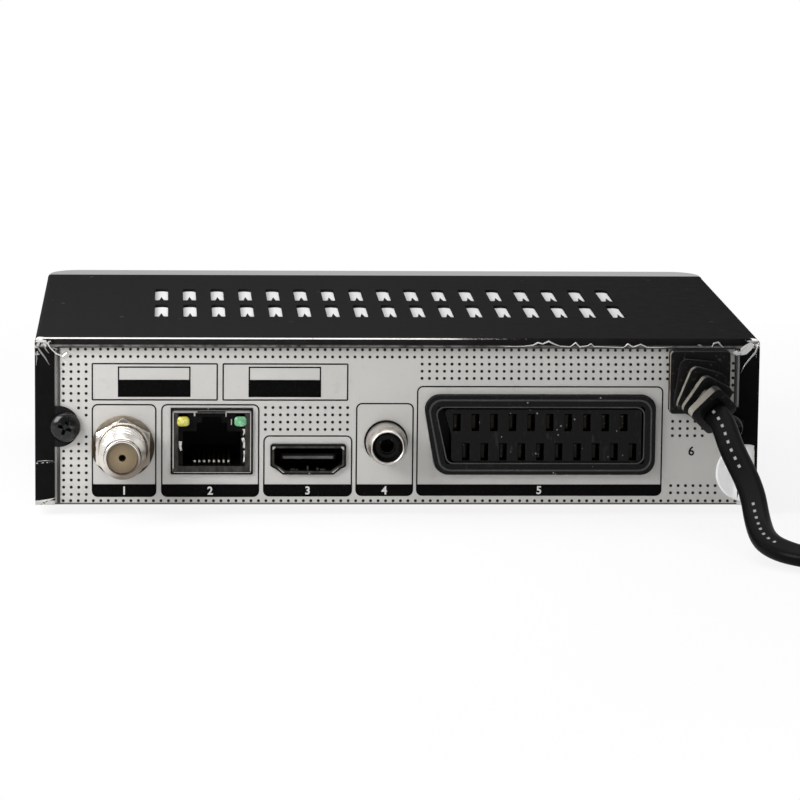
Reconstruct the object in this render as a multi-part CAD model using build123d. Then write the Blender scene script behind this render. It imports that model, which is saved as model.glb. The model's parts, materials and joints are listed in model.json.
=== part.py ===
"""Satellite receiver with its connectors, boards, front keys and mains lead. Sizes in mm.

Frame: +Z up, z = 0 at the underside of the feet, the front faces -Y and the connectors face +Y.
The origin is midway between the key caps and the tip of the aerial socket.
"""

import math
import os

from build123d import *

# ---------------------------------------------------------------- driving dimensions
FIT = 0.15  # gap between parts that slide past or sit in each other
CASE_W = 148.0  # across the cover
CASE_H = 34.5  # underside of the tray to the top of the cover
COVER_D = 96.0  # cover, front edge to rear lip
SHEET = 0.6  # cover sheet
TRAY_T = 0.8  # tray sheet
PANEL_T = 0.8  # rear panel sheet
FOLD_R = 1.0  # outside of the cover's folds
LIP_TOP = 1.8  # rear lips of the cover
LIP_SIDE = 4.0
FLANGE_H = 8.0  # tray's side walls
FOOT_H = 2.0
FOOT_R = 4.5
FOOT_INSET = 16.0

BEZEL_D = 8.5
BEZEL_R = 7.0  # bezel's corners, seen from above
BEZEL_WALL = 2.0
BEZEL_EDGE = 0.8
TONGUE = 3.0  # the bezel's rim that the cover slips over
WINDOW_W = 68.0
WINDOW_H = 17.0
WINDOW_T = 1.2
WINDOW_LEDGE = 2.0

KEY_PROUD = 0.8  # key caps beyond the bezel
KEY_TRAVEL = 0.5
KEY_RIM = 0.8  # rim that holds a cap behind the bezel
KEY_RIM_OUT = 1.0
POWER_KEY_R = 4.5
CHANNEL_KEY_W = 9.0
CHANNEL_KEY_H = 5.0
SWITCH_W = 6.0
SWITCH_T = 3.5
PLUNGER_R = 1.7
PLUNGER_PROUD = 1.0
FRONT_BOARD_T = 1.2
FRONT_BOARD_GAP = (4.0, 2.75)  # from its edges to the bezel's sides, and to its top and bottom
BOSS_R = 2.4
BOSS_GAP = 0.6
FRONT_GAPS = (8.5, 8.5, 3.0, 1.0, 1.95, 6.95)  # between the pieces along the front

VENT_COUNT = 17
VENT_PITCH = 6.05
VENT_W = 2.8
VENT_L = 18.0
VENT_NOTCH = 5.0
VENT_ROWS = (39.5, 64.0)  # from the rear lip to the middle of each row
SCREEN_T = 0.4  # dust screen under the vents

EAR_R = 4.2  # lugs of the side lips round the two rear screws
EAR_IN = 4.8  # from the case's sides
REAR_SCREW_IN = 6.1  # from the case's sides
REAR_SCREW_UP = 16.2  # above the tray's underside
REAR_SCREW_HEAD_R = 3.0
REAR_SCREW_HEAD_H = 2.0
SCREW_R = 1.45
SCREW_L = 6.0
BOARD_SCREW_HEAD_R = 2.6

BOARD_T = 1.6
PILLAR_H = 4.0
STRIP_D = 42.0  # rear strip of the main board, which carries the sockets
MAIN_ARM_X = 3.0  # the arm of the L that runs forwards starts here
ARM_GAP = 4.0  # between the arm and the power board
BOARD_SIDE_GAP = 2.9
BOARD_GAP = 2.2
PILLAR_R = 2.6
PILLAR_IN = 4.5  # from the boards' edges

REAR_GAPS = (1.3, 0.85, 3.85, 3.11, 2.24, 2.6, 2.2)  # between the pieces along the rear panel
AERIAL_R = 4.76
THREAD_DEPTH = 0.45
AERIAL_REACH = 14.0
AERIAL_TIP = 1.1
AERIAL_RISE = 5.6  # socket axis above the board
NUT_FLATS = 11.0
NUT_T = 2.3
WASHER_R = 6.4
WASHER_T = 0.7
TUNER_W = 18.0
TUNER_D = 28.0
TUNER_H = 13.0
NET_W = 16.5
NET_H = 13.5
NET_D = 16.0
NET_LIGHT_W = 3.0
NET_LIGHT_H = 2.4
VIDEO_W = 15.2
VIDEO_H = 6.1
VIDEO_D = 11.0
COAX_R = 4.15
COAX_STEP = 0.3  # the barrel is thinner behind the panel's face
COAX_BODY_W = 10.4
COAX_REACH = 9.0
COAX_RISE = 6.65
AV_W = 47.8
AV_H = 16.4
AV_D = 18.0
AV_PROUD = 1.2
AV_RIM = 2.2
AV_MOAT = 8.0
AV_SLANT = 2.9  # how far the keyed side leans in
AV_PITCH = 3.81
AV_SLOT_W = 1.56
AV_SLOT_H = 3.6
AV_SLOTS = 10
PORT_W = 13.1
PORT_H = 5.7
PORT_D = 13.6

RELIEF_DROP = 8.7  # below the cover's top
RELIEF_W = 12.4
RELIEF_H = 13.0
RELIEF_T = 2.6
RELIEF_RIBS = 5
RELIEF_RIB_T = 1.35
RELIEF_RIB_W = 8.8
RELIEF_RIB_H = 8.4
RELIEF_SHIFT = (-1.7, 13.4, -4.3)  # last rib from the middle of the block's face
RELIEF_YAW = (6.0, 27.0)  # first and last rib, degrees
RELIEF_DIP = (3.0, 24.0)
RELIEF_ROLL = (0.0, -40.0)
CORD_R = 2.1  # the same section as the flat lead, 5.2 by 3.2

COIL_OUT = 36.5
COIL_IN = 21.5
COIL_H = 10.8
COIL_AT = (-122.0, 72.0)
TIE_T = 0.6
TIE_W = 10.0
PLUG_BACK = 17.0  # from the coil's axis to the plug's tail
PLUG_L = 36.0
PLUG_W = 35.0
PLUG_T = 13.6
PIN_R = 2.0
PIN_L = 19.0
PIN_PITCH = 18.6

FUSE_CAP_R = 2.7
FUSE_L = 20.0  # over the caps
CHOKE = (13.0, 16.0, 14.4)  # over all: across, along and up
TRANSFORMER = (19.0, 16.0, 18.0)
POWER_CAN = (4.0, 14.0)  # radius and height
BULK_CAN = (6.3, 20.0)
BOARD_CAN = (3.2, 9.0)
TALL_CAN = (4.0, 11.0)
POWER_GAPS = (1.8, 4.8, 3.0, 5.5, 9.0)  # between the pieces across the power board
HARNESS_PLUG = (5.0, 14.0, 7.0)
HARNESS_PITCH = 2.4
CHIP_W = 20.0
CHIP_T = 1.4
SINK_W = 23.0
SINK_BASE = 2.0
SINK_FIN_H = 8.0
MEMORY_TALL = (8.0, 12.5, 1.1)
MEMORY_WIDE = (12.0, 8.0, 1.1)
ARM_GAPS = (5.5, 2.0, 1.0, 1.5, 9.5)  # between the pieces across the main board's arm


def row(start, end, widths, gaps):
    """Middles of pieces set side by side; the gaps share what the widths leave free."""
    way = math.copysign(1, end - start)
    share = (abs(end - start) - sum(widths)) / sum(gaps)
    edge, middles = start, []
    for width, gap in zip(widths, gaps):
        edge += way * gap * share
        middles.append(edge + way * width / 2)
        edge += way * width
    return middles


# ---------------------------------------------------------------- places worked out from them
BASE_Z = FOOT_H
TOP_Z = FOOT_H + CASE_H
FLOOR_Z = BASE_Z + TRAY_T
TOTAL_D = KEY_PROUD + BEZEL_D + COVER_D - SHEET + AERIAL_REACH
FACE_Y = KEY_PROUD - TOTAL_D / 2  # front of the bezel
SPLIT_Y = FACE_Y + BEZEL_D  # where cover and bezel meet
LIP_Y = SPLIT_Y + COVER_D
PANEL_Y = LIP_Y - SHEET
INSIDE_Y = PANEL_Y - PANEL_T
SIDE_X = CASE_W / 2
WALL_X = SIDE_X - SHEET
WALL_IN_Y = FACE_Y + BEZEL_WALL  # back of the bezel's front wall
BOARD_Y = SPLIT_Y + 0.6  # component side of the front board
BOARD_Z = FLOOR_Z + PILLAR_H
BOARD_TOP = BOARD_Z + BOARD_T
STRIP_Y = INSIDE_Y - BOARD_GAP / 2 - STRIP_D
MAIN_FRONT_Y = SPLIT_Y + TONGUE + BOARD_GAP
POWER_REAR_Y = STRIP_Y - BOARD_GAP
AERIAL_Z = BOARD_TOP + AERIAL_RISE
NET_Z = BOARD_TOP + NET_H / 2
VIDEO_Z = BOARD_TOP + VIDEO_H / 2
COAX_Z = BOARD_TOP + COAX_RISE
AV_Z = BOARD_TOP + AV_H / 2
RELIEF_Z = TOP_Z - RELIEF_DROP
REAR_SCREW_X = SIDE_X - REAR_SCREW_IN
REAR_SCREW_Z = BASE_Z + REAR_SCREW_UP
REAR_WIDTHS = (TUNER_W, NET_W, VIDEO_W, COAX_BODY_W, AV_W, RELIEF_W)
AERIAL_X, NET_X, VIDEO_X, COAX_X, AV_MID, RELIEF_X = row(
    REAR_SCREW_X - SCREW_R, LIP_SIDE - SIDE_X, REAR_WIDTHS, REAR_GAPS
)
BEZEL_IN_X = SIDE_X - BEZEL_WALL
FRONT_MID_Z = BASE_Z + CASE_H / 2  # keys, window and data port share this height
POWER_RIM_R = POWER_KEY_R + KEY_RIM_OUT
CHANNEL_RIM_W = CHANNEL_KEY_W + 2 * KEY_RIM_OUT
FRONT_WIDTHS = (2 * POWER_RIM_R, WINDOW_W, CHANNEL_RIM_W, CHANNEL_RIM_W, PORT_W)
POWER_KEY_X, WINDOW_X, *CHANNEL_KEYS_X, PORT_X = row(
    -BEZEL_IN_X, BEZEL_IN_X, FRONT_WIDTHS, FRONT_GAPS
)
FRONT_BOARD_X = BEZEL_IN_X - FRONT_BOARD_GAP[0]
BOARD_LOW = BASE_Z + BEZEL_WALL + FRONT_BOARD_GAP[1]
BOARD_HIGH = TOP_Z - BEZEL_WALL - FRONT_BOARD_GAP[1]
PLUNGER_Y = BOARD_Y - SWITCH_T - PLUNGER_PROUD
AV_END_X = AV_MID - AV_W / 2
MAIN_X = (AV_END_X - 0.7, WALL_X - BOARD_SIDE_GAP)
POWER_X = (BOARD_SIDE_GAP - WALL_X, MAIN_ARM_X - ARM_GAP)
POWER_WIDTHS = (2 * FUSE_CAP_R, CHOKE[0], TRANSFORMER[0], 2 * POWER_CAN[0])
FUSE_X, CHOKE_X, TRANSFORMER_X, CAN_X = row(*POWER_X, POWER_WIDTHS, POWER_GAPS)
ARM_WIDTHS = (HARNESS_PLUG[0], MEMORY_TALL[0], SINK_W, MEMORY_WIDE[0])
HARNESS_X, TALL_CHIP_X, CHIP_X, WIDE_CHIP_X = row(MAIN_ARM_X, MAIN_X[1], ARM_WIDTHS, ARM_GAPS)
CHIP_Y = STRIP_Y - 15.45
HARNESS_Y = POWER_REAR_Y - 7.25
INLET_AT = (CHOKE_X - 1.0, POWER_REAR_Y - 5.0)
TUNER_Y = INSIDE_Y - 0.7 - TUNER_D / 2  # the can stands just clear of the rear panel

os.makedirs("parts", exist_ok=True)


# ---------------------------------------------------------------- helpers
def block(x, y, z):
    """A box from three (low, high) pairs."""
    size = [high - low for low, high in (x, y, z)]
    middle = [(high + low) / 2 for low, high in (x, y, z)]
    return Pos(*middle) * Box(*size)


def slab(x, y, z, w, d, h):
    """A box centred on x and y that stands on z."""
    return block((x - w / 2, x + w / 2), (y - d / 2, y + d / 2), (z, z + h))


def rod(x, z, r, y0, y1):
    """A round bar along Y."""
    return Pos(x, (y0 + y1) / 2, z) * Rot(90, 0, 0) * Cylinder(r, y1 - y0)


def post(x, y, r, z0, z1):
    """A round bar along Z."""
    return Pos(x, y, (z0 + z1) / 2) * Cylinder(r, z1 - z0)


def rear(x, y, z):
    """A plane that faces the back, with its own x towards -X and its own y up."""
    return Plane(origin=(x, y, z), x_dir=(-1, 0, 0), z_dir=(0, 1, 0))


def prism(sketch, x, z, y0, y1):
    """A sketch drawn as seen from the back, centred on x and z, as a bar from y0 to y1."""
    return extrude(rear(x, y0, z) * sketch, y1 - y0)


def rounded(w, h, r):
    return RectangleRounded(w, h, r)


def group(solids):
    return Compound(children=[solid for shape in solids for solid in shape.solids()])


def save(name, shape):
    export_step(shape, f"parts/{name}.step")


# ---------------------------------------------------------------- case
def vent(x, y):
    """One slot: a rounded far end and a notched near end."""
    w, near, far = VENT_W / 2, y + VENT_L / 2, y - VENT_L / 2
    tip = 0.3 * VENT_W
    with BuildPart() as cutter:
        with BuildSketch(Plane.XY.offset(TOP_Z - 2 * SHEET)):
            with BuildLine():
                Line((x - w, far + w), (x - w, near - tip))
                ThreePointArc((x - w, near - tip), (x - 0.6 * w, near), (x - 0.3 * w, near - tip))
                Line((x - 0.3 * w, near - tip), (x, near - VENT_NOTCH))
                Line((x, near - VENT_NOTCH), (x + 0.3 * w, near - tip))
                ThreePointArc((x + 0.3 * w, near - tip), (x + 0.6 * w, near), (x + w, near - tip))
                Line((x + w, near - tip), (x + w, far + w))
                ThreePointArc((x + w, far + w), (x, far), (x - w, far + w))
            make_face()
        extrude(amount=3 * SHEET)
    return cutter.part


def vent_places():
    half = (VENT_COUNT - 1) / 2
    return [(VENT_PITCH * (i - half), LIP_Y - row) for row in VENT_ROWS for i in range(VENT_COUNT)]


def top_cover():
    """A sheet folded over the top and both sides, with narrow lips over the rear panel."""
    shell = block((-SIDE_X, SIDE_X), (SPLIT_Y, LIP_Y), (BASE_Z, TOP_Z))
    top_edges = shell.faces().sort_by(Axis.Z)[-1].edges()
    shell = fillet(top_edges.filter_by(Axis.Y) + top_edges.sort_by(Axis.Y)[-1:], FOLD_R)
    inside = block(
        (-WALL_X, WALL_X), (SPLIT_Y - 1, LIP_Y - SHEET), (BASE_Z - 1, TOP_Z - SHEET)
    )
    opening = prism(
        rounded(2 * (SIDE_X - LIP_SIDE), CASE_H - LIP_TOP + 10, 1.2),
        0, BASE_Z - 10 + (CASE_H - LIP_TOP + 10) / 2, LIP_Y - 2 * SHEET, LIP_Y + 1,
    )
    ear_x = SIDE_X - EAR_IN
    ears = [rod(side * ear_x, REAR_SCREW_Z, EAR_R, LIP_Y - SHEET, LIP_Y) for side in (-1, 1)]
    relief_room = prism(
        Rectangle(RELIEF_W + 2 * FIT, RELIEF_H + 2 * FIT), RELIEF_X, RELIEF_Z, LIP_Y - 2 * SHEET, LIP_Y + 1
    )
    cover = shell - inside - opening + [ear - relief_room for ear in ears]
    holes = [
        rod(side * REAR_SCREW_X, REAR_SCREW_Z, SCREW_R + FIT, LIP_Y - 1, LIP_Y + 1)
        for side in (-1, 1)
    ]
    return cover - holes - [vent(x, y) for x, y in vent_places()]


def vent_screen():
    """A strip of white filter fleece stuck under each row of vents."""
    width = VENT_PITCH * VENT_COUNT + 6
    z = TOP_Z - SHEET - SCREEN_T
    return group([slab(0, LIP_Y - row, z, width, VENT_L + 5, SCREEN_T) for row in VENT_ROWS])


def chassis_tray():
    x = WALL_X - FIT
    floor = block((-x, x), (SPLIT_Y, INSIDE_Y), (BASE_Z, FLOOR_Z))
    walls = [
        block((side, side + TRAY_T), (SPLIT_Y + TONGUE + 1, INSIDE_Y), (BASE_Z, BASE_Z + FLANGE_H))
        for side in (-x, x - TRAY_T)
    ]
    slots = [
        slab(9.0 * i, row, BASE_Z - 1, 2.4, 16.0, TRAY_T + 2)
        for i in range(-5, 6) for row in (-24.0, 14.0)
    ]
    return floor + walls - slots


def panel_openings():
    """The holes of the rear panel, each a clearance larger than what comes through it."""
    y0, y1 = INSIDE_Y - 1, PANEL_Y + 1
    grow = 2 * FIT
    cuts = [
        rod(AERIAL_X, AERIAL_Z, AERIAL_R + FIT, y0, y1),
        rod(COAX_X, COAX_Z, COAX_R + 0.35, y0, y1),
        prism(Rectangle(NET_W + grow, NET_H + grow), NET_X, NET_Z, y0, y1),
        prism(offset(video_outline(VIDEO_W, VIDEO_H), FIT), VIDEO_X, VIDEO_Z, y0, y1),
        prism(offset(av_outline(), FIT), AV_MID, AV_Z, y0, y1),
        prism(rounded(neck_w() + grow, neck_h() + grow, 1.5), RELIEF_X, RELIEF_Z, y0, y1),
    ]
    screws = [
        rod(side * REAR_SCREW_X, REAR_SCREW_Z, SCREW_R + 0.03, y0, y1) for side in (-1, 1)
    ]
    return cuts + screws


def rear_panel():
    x = WALL_X - FIT
    sheet = block((-x, x), (INSIDE_Y, PANEL_Y), (BASE_Z, TOP_Z - SHEET - FIT))
    foot = block((-x + TRAY_T + 1, x - TRAY_T - 1), (INSIDE_Y - 6, INSIDE_Y), (FLOOR_Z, FLOOR_Z + PANEL_T))
    return sheet + foot - panel_openings()


def rear_screws():
    """Pan heads with a cross recess."""
    made = []
    for side in (-1, 1):
        x = side * REAR_SCREW_X
        head = rod(x, REAR_SCREW_Z, REAR_SCREW_HEAD_R, LIP_Y, LIP_Y + REAR_SCREW_HEAD_H)
        head = fillet(head.faces().sort_by(Axis.Y)[-1].edges(), 1.1)
        for w, h in ((3.2, 0.75), (0.75, 3.2)):
            head -= prism(Rectangle(w, h), x, REAR_SCREW_Z, LIP_Y + 0.8, LIP_Y + 3)
        made.append(head + rod(x, REAR_SCREW_Z, SCREW_R, LIP_Y - SCREW_L, LIP_Y))
    return group(made)


def foot_places():
    x = SIDE_X - FOOT_INSET
    return [(sx * x, y) for sx in (-1, 1) for y in (SPLIT_Y + FOOT_INSET, LIP_Y - FOOT_INSET)]


def rubber_feet():
    feet = [post(x, y, FOOT_R, 0, FOOT_H) for x, y in foot_places()]
    return group([chamfer(foot.faces().sort_by(Axis.Z)[0].edges(), 0.5) for foot in feet])


# ---------------------------------------------------------------- front
def key_outline(grow=0.0):
    return rounded(CHANNEL_KEY_W + 2 * grow, CHANNEL_KEY_H + 2 * grow, 1.6 + grow)


def key_holes():
    y0, y1 = FACE_Y - 1, WALL_IN_Y + 0.5
    holes = [rod(POWER_KEY_X, FRONT_MID_Z, POWER_KEY_R + FIT, y0, y1)]
    return holes + [prism(key_outline(FIT), x, FRONT_MID_Z, y0, y1) for x in CHANNEL_KEYS_X]


def boss_places():
    left = WINDOW_X - WINDOW_W / 2 - BOSS_GAP - BOSS_R
    right = (CHANNEL_KEYS_X[1] + CHANNEL_RIM_W / 2 + PORT_X - PORT_W / 2) / 2
    inset = BOSS_R + 0.2
    return [(x, z) for x in (left, right) for z in (BOARD_LOW + inset, BOARD_HIGH - inset)]


def front_bezel():
    """A moulded front with a rim inside the cover and posts for the front board."""
    outer = block((-SIDE_X, SIDE_X), (FACE_Y, SPLIT_Y), (BASE_Z, TOP_Z))
    outer = fillet(outer.edges().filter_by(Axis.Z).sort_by(Axis.Y)[:2], BEZEL_R)
    outer = fillet(outer.faces().sort_by(Axis.Y)[0].edges(), BEZEL_EDGE)
    pocket = block(
        (-SIDE_X + BEZEL_WALL, SIDE_X - BEZEL_WALL),
        (WALL_IN_Y, SPLIT_Y + 1),
        (BASE_Z + BEZEL_WALL, TOP_Z - BEZEL_WALL),
    )
    pocket = fillet(pocket.edges().filter_by(Axis.Z).sort_by(Axis.Y)[:2], BEZEL_R - BEZEL_WALL)
    x, low, high = WALL_X - FIT, FLOOR_Z + 2 * FIT, TOP_Z - SHEET - FIT
    rim = block((-x, x), (SPLIT_Y, SPLIT_Y + TONGUE), (low, high)) - block(
        (-x + BEZEL_WALL, x - BEZEL_WALL), (SPLIT_Y - 1, SPLIT_Y + TONGUE + 1), (low - 1, high - BEZEL_WALL)
    )
    tabs = [
        block((tab - 6, tab + 6), (SPLIT_Y - BEZEL_WALL, SPLIT_Y + 5), (FLOOR_Z, FLOOR_Z + 1.2))
        for tab in (-40, 0, 40)
    ]
    shell = outer - pocket + rim + tabs
    shell += [rod(x, z, BOSS_R, WALL_IN_Y - 0.1, BOARD_Y) for x, z in boss_places()]
    shell -= [rod(x, z, 0.85, WALL_IN_Y + 0.6, BOARD_Y + 1) for x, z in boss_places()]
    shell -= prism(rounded(WINDOW_W, WINDOW_H, 2.0), WINDOW_X, FRONT_MID_Z, FACE_Y - 1, FACE_Y + WINDOW_T)
    hole_w, hole_h = WINDOW_W - 2 * WINDOW_LEDGE, WINDOW_H - 2 * WINDOW_LEDGE
    shell -= prism(rounded(hole_w, hole_h, 1.0), WINDOW_X, FRONT_MID_Z, FACE_Y, WALL_IN_Y + 0.5)
    shell -= prism(
        rounded(PORT_W + 4 * FIT, PORT_H + 4 * FIT, 0.6), PORT_X, FRONT_MID_Z, FACE_Y - 1, WALL_IN_Y + 0.5
    )
    return shell - key_holes()


def display_window():
    plate = rounded(WINDOW_W - 2 * FIT, WINDOW_H - 2 * FIT, 2.0 - FIT)
    return prism(plate, WINDOW_X, FRONT_MID_Z, FACE_Y, FACE_Y + WINDOW_T)


def front_board():
    board = block(
        (-FRONT_BOARD_X, FRONT_BOARD_X), (BOARD_Y, BOARD_Y + FRONT_BOARD_T), (BOARD_LOW, BOARD_HIGH)
    )
    board -= [rod(x, z, 1.15, BOARD_Y - 1, BOARD_Y + 3) for x, z in boss_places()]
    slot = rounded(PORT_W + 2 * FIT, PORT_H + 2 * FIT, 0.4)
    return board - prism(slot, PORT_X, FRONT_MID_Z, BOARD_Y - 1, BOARD_Y + 3)


def key_cap(x, outline, rim):
    """A cap with the rim that stops it behind the bezel and the stem that meets the switch."""
    cap = prism(outline, x, FRONT_MID_Z, FACE_Y - KEY_PROUD, WALL_IN_Y)
    cap = fillet(cap.faces().sort_by(Axis.Y)[0].edges(), 0.45)
    cap += prism(rim, x, FRONT_MID_Z, WALL_IN_Y, WALL_IN_Y + KEY_RIM)
    return cap + rod(x, FRONT_MID_Z, PLUNGER_R - 0.2, WALL_IN_Y, PLUNGER_Y)


def plunger(x):
    return rod(x, FRONT_MID_Z, PLUNGER_R, PLUNGER_Y, BOARD_Y - SWITCH_T + 1.2)


def switch_bodies():
    made = []
    for x in (POWER_KEY_X, *CHANNEL_KEYS_X):
        body = prism(rounded(SWITCH_W, SWITCH_W, 0.3), x, FRONT_MID_Z, BOARD_Y - SWITCH_T, BOARD_Y)
        deep = BOARD_Y - SWITCH_T + 1.4 + KEY_TRAVEL
        bore = rod(x, FRONT_MID_Z, PLUNGER_R + 0.08, BOARD_Y - SWITCH_T - 1, deep)
        made.append(body - bore)
    return group(made)


def led_display():
    """A module with four figures, each sunk slightly into its face."""
    x, front = WINDOW_X - 6, WALL_IN_Y + 0.8
    body = block((x - 15.1, x + 15.1), (front, BOARD_Y), (FRONT_MID_Z - 5, FRONT_MID_Z + 5))
    return chamfer(body.faces().sort_by(Axis.Y)[0].edges(), 0.3)


def ir_receiver():
    x = WINDOW_X + 22
    body = slab(x, BOARD_Y - 1.5, FRONT_MID_Z - 3.5, 5.6, 3.0, 7.0)
    return body + Pos(x, BOARD_Y - 3, FRONT_MID_Z + 0.6) * Sphere(1.9)


def data_port():
    """A folded metal shell with its plastic tongue."""
    y0 = FACE_Y + 0.3
    shell = prism(rounded(PORT_W, PORT_H, 0.5), PORT_X, FRONT_MID_Z, y0, y0 + PORT_D)
    hollow = prism(Rectangle(PORT_W - 0.7, PORT_H - 0.7), PORT_X, FRONT_MID_Z, y0 - 1, y0 + PORT_D - 0.7)
    tongue = block(
        (PORT_X - 5.5, PORT_X + 5.5),
        (y0 + 0.9, y0 + PORT_D - 0.7),
        (FRONT_MID_Z + 0.2, FRONT_MID_Z + 2.0),
    )
    return shell - hollow, tongue


# ---------------------------------------------------------------- boards and what is on them
def main_pillars():
    return [
        (MAIN_X[1] - PILLAR_IN, MAIN_FRONT_Y + PILLAR_IN),
        (MAIN_ARM_X + PILLAR_IN, MAIN_FRONT_Y + PILLAR_IN),
        (MAIN_X[0] + PILLAR_IN, STRIP_Y + PILLAR_IN + 0.5),
        (MAIN_X[1] - PILLAR_IN, STRIP_Y + PILLAR_IN + 0.5),
    ]


def power_pillars():
    xs = (POWER_X[0] + PILLAR_IN, POWER_X[1] - PILLAR_IN)
    ys = (MAIN_FRONT_Y + PILLAR_IN, POWER_REAR_Y - PILLAR_IN)
    return [(x, y) for x in xs for y in ys]


def drilled(board, places):
    return board - [post(x, y, SCREW_R + 0.2, BOARD_Z - 1, BOARD_TOP + 1) for x, y in places]


def main_board():
    strip = block(MAIN_X, (STRIP_Y, STRIP_Y + STRIP_D), (BOARD_Z, BOARD_TOP))
    arm = block((MAIN_ARM_X, MAIN_X[1]), (MAIN_FRONT_Y, STRIP_Y + 1), (BOARD_Z, BOARD_TOP))
    return drilled(strip + arm, main_pillars())


def power_board():
    return drilled(
        block(POWER_X, (MAIN_FRONT_Y, POWER_REAR_Y), (BOARD_Z, BOARD_TOP)), power_pillars()
    )


def board_pillars():
    made = []
    for x, y in main_pillars() + power_pillars():
        pillar = post(x, y, PILLAR_R, FLOOR_Z, BOARD_Z)
        made.append(pillar - post(x, y, SCREW_R + 0.03, FLOOR_Z + 0.4, BOARD_Z + 1))
    return group(made)


def board_screws():
    """The screws of all three boards."""
    made = []
    for x, y in main_pillars() + power_pillars():
        head = post(x, y, BOARD_SCREW_HEAD_R, BOARD_TOP, BOARD_TOP + 1.7)
        head = fillet(head.faces().sort_by(Axis.Z)[-1].edges(), 0.7)
        made.append(head + post(x, y, SCREW_R, BOARD_Z - 2.6, BOARD_TOP))
    back = BOARD_Y + FRONT_BOARD_T
    for x, z in boss_places():
        made.append(rod(x, z, 2.0, back, back + 1.3) + rod(x, z, 0.8, back - 5, back))
    return group(made)


def insulation_sheet():
    """Fish paper between the power board and the tray, cut out round the pillars."""
    sheet = block((POWER_X[0], POWER_X[1]), (MAIN_FRONT_Y, POWER_REAR_Y), (FLOOR_Z, FLOOR_Z + 0.3))
    return sheet - [post(x, y, PILLAR_R + 0.4, BASE_Z, BOARD_Z) for x, y in power_pillars()]


def processor():
    return slab(CHIP_X, CHIP_Y, BOARD_TOP, CHIP_W, CHIP_W, CHIP_T)


def heatsink():
    base, fin = BOARD_TOP + CHIP_T, 1.2
    sink = slab(CHIP_X, CHIP_Y, base, SINK_W, SINK_W, SINK_BASE)
    for i in range(7):
        x = CHIP_X + (SINK_W - fin) * (i / 6 - 0.5)
        sink += slab(x, CHIP_Y, base + SINK_BASE - 0.1, fin, SINK_W, SINK_FIN_H)
    return sink


def memory_chips():
    regulator = (5.2, 5.2, 1.6)
    return group([
        slab(TALL_CHIP_X, CHIP_Y + 8, BOARD_TOP, *MEMORY_TALL),
        slab(WIDE_CHIP_X, CHIP_Y + 6, BOARD_TOP, *MEMORY_WIDE),
        slab(WIDE_CHIP_X, CHIP_Y - 7, BOARD_TOP, *regulator),
    ])


def electrolytic_capacitors():
    """The smoothing capacitors of both boards."""
    places = [
        (MAIN_ARM_X + 11.0, STRIP_Y + 8.0, *BOARD_CAN),
        (MAIN_ARM_X + 21.0, STRIP_Y + 8.0, *BOARD_CAN),
        (MAIN_X[1] - 10.5, MAIN_FRONT_Y + 10.85, *TALL_CAN),
        (MAIN_X[1] - 21.5, MAIN_FRONT_Y + 8.85, *BOARD_CAN),
        (CAN_X, MAIN_FRONT_Y + 6.85, *POWER_CAN),
        (CAN_X, MAIN_FRONT_Y + 17.35, *POWER_CAN),
    ]
    cans = [post(x, y, r, BOARD_TOP, BOARD_TOP + h) for x, y, r, h in places]
    return group([fillet(can.faces().sort_by(Axis.Z)[-1].edges(), 0.6) for can in cans])


def tuner_can():
    can = slab(AERIAL_X, TUNER_Y, BOARD_TOP, TUNER_W, TUNER_D, TUNER_H)
    can -= slab(AERIAL_X, TUNER_Y, BOARD_TOP - 1, TUNER_W - 1, TUNER_D - 1, TUNER_H + 0.5)
    return fillet(can.faces().sort_by(Axis.Z)[-1].edges(), 0.4)


def aerial_socket():
    """Barrel with its root flange, washer, nut, insulator and sprung contact.

    The barrel is as wide as its thread's crest, and under the nut and washer as its root.
    """
    root = INSIDE_Y - 0.7
    nut_face = PANEL_Y + WASHER_T + NUT_T
    tip = PANEL_Y + AERIAL_REACH
    thread_root = AERIAL_R - THREAD_DEPTH
    barrel = rod(AERIAL_X, AERIAL_Z, AERIAL_R, nut_face, tip)
    barrel = chamfer(barrel.faces().sort_by(Axis.Y)[-1].edges(), AERIAL_TIP)
    barrel += rod(AERIAL_X, AERIAL_Z, thread_root, root, nut_face)
    barrel += rod(AERIAL_X, AERIAL_Z, 6.0, root, root + 0.6)
    bore_r = 3.1
    barrel -= rod(AERIAL_X, AERIAL_Z, bore_r, tip - 9, tip + 1)
    insulator = rod(AERIAL_X, AERIAL_Z, bore_r, tip - 9, tip - 0.5)
    insulator -= rod(AERIAL_X, AERIAL_Z, 0.75, tip - 7, tip)
    contact = rod(AERIAL_X, AERIAL_Z, 0.75, tip - 7, tip - 1.6) - rod(
        AERIAL_X, AERIAL_Z, 0.45, tip - 5, tip
    )
    washer = rod(AERIAL_X, AERIAL_Z, WASHER_R, PANEL_Y, PANEL_Y + WASHER_T)
    nut = prism(
        RegularPolygon(NUT_FLATS / 2, 6, major_radius=False),
        AERIAL_X, AERIAL_Z, PANEL_Y + WASHER_T, nut_face,
    )
    hole = rod(AERIAL_X, AERIAL_Z, thread_root + 0.02, PANEL_Y - 1, nut_face + 1)
    return barrel, nut - hole, washer - hole, insulator, contact


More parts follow.
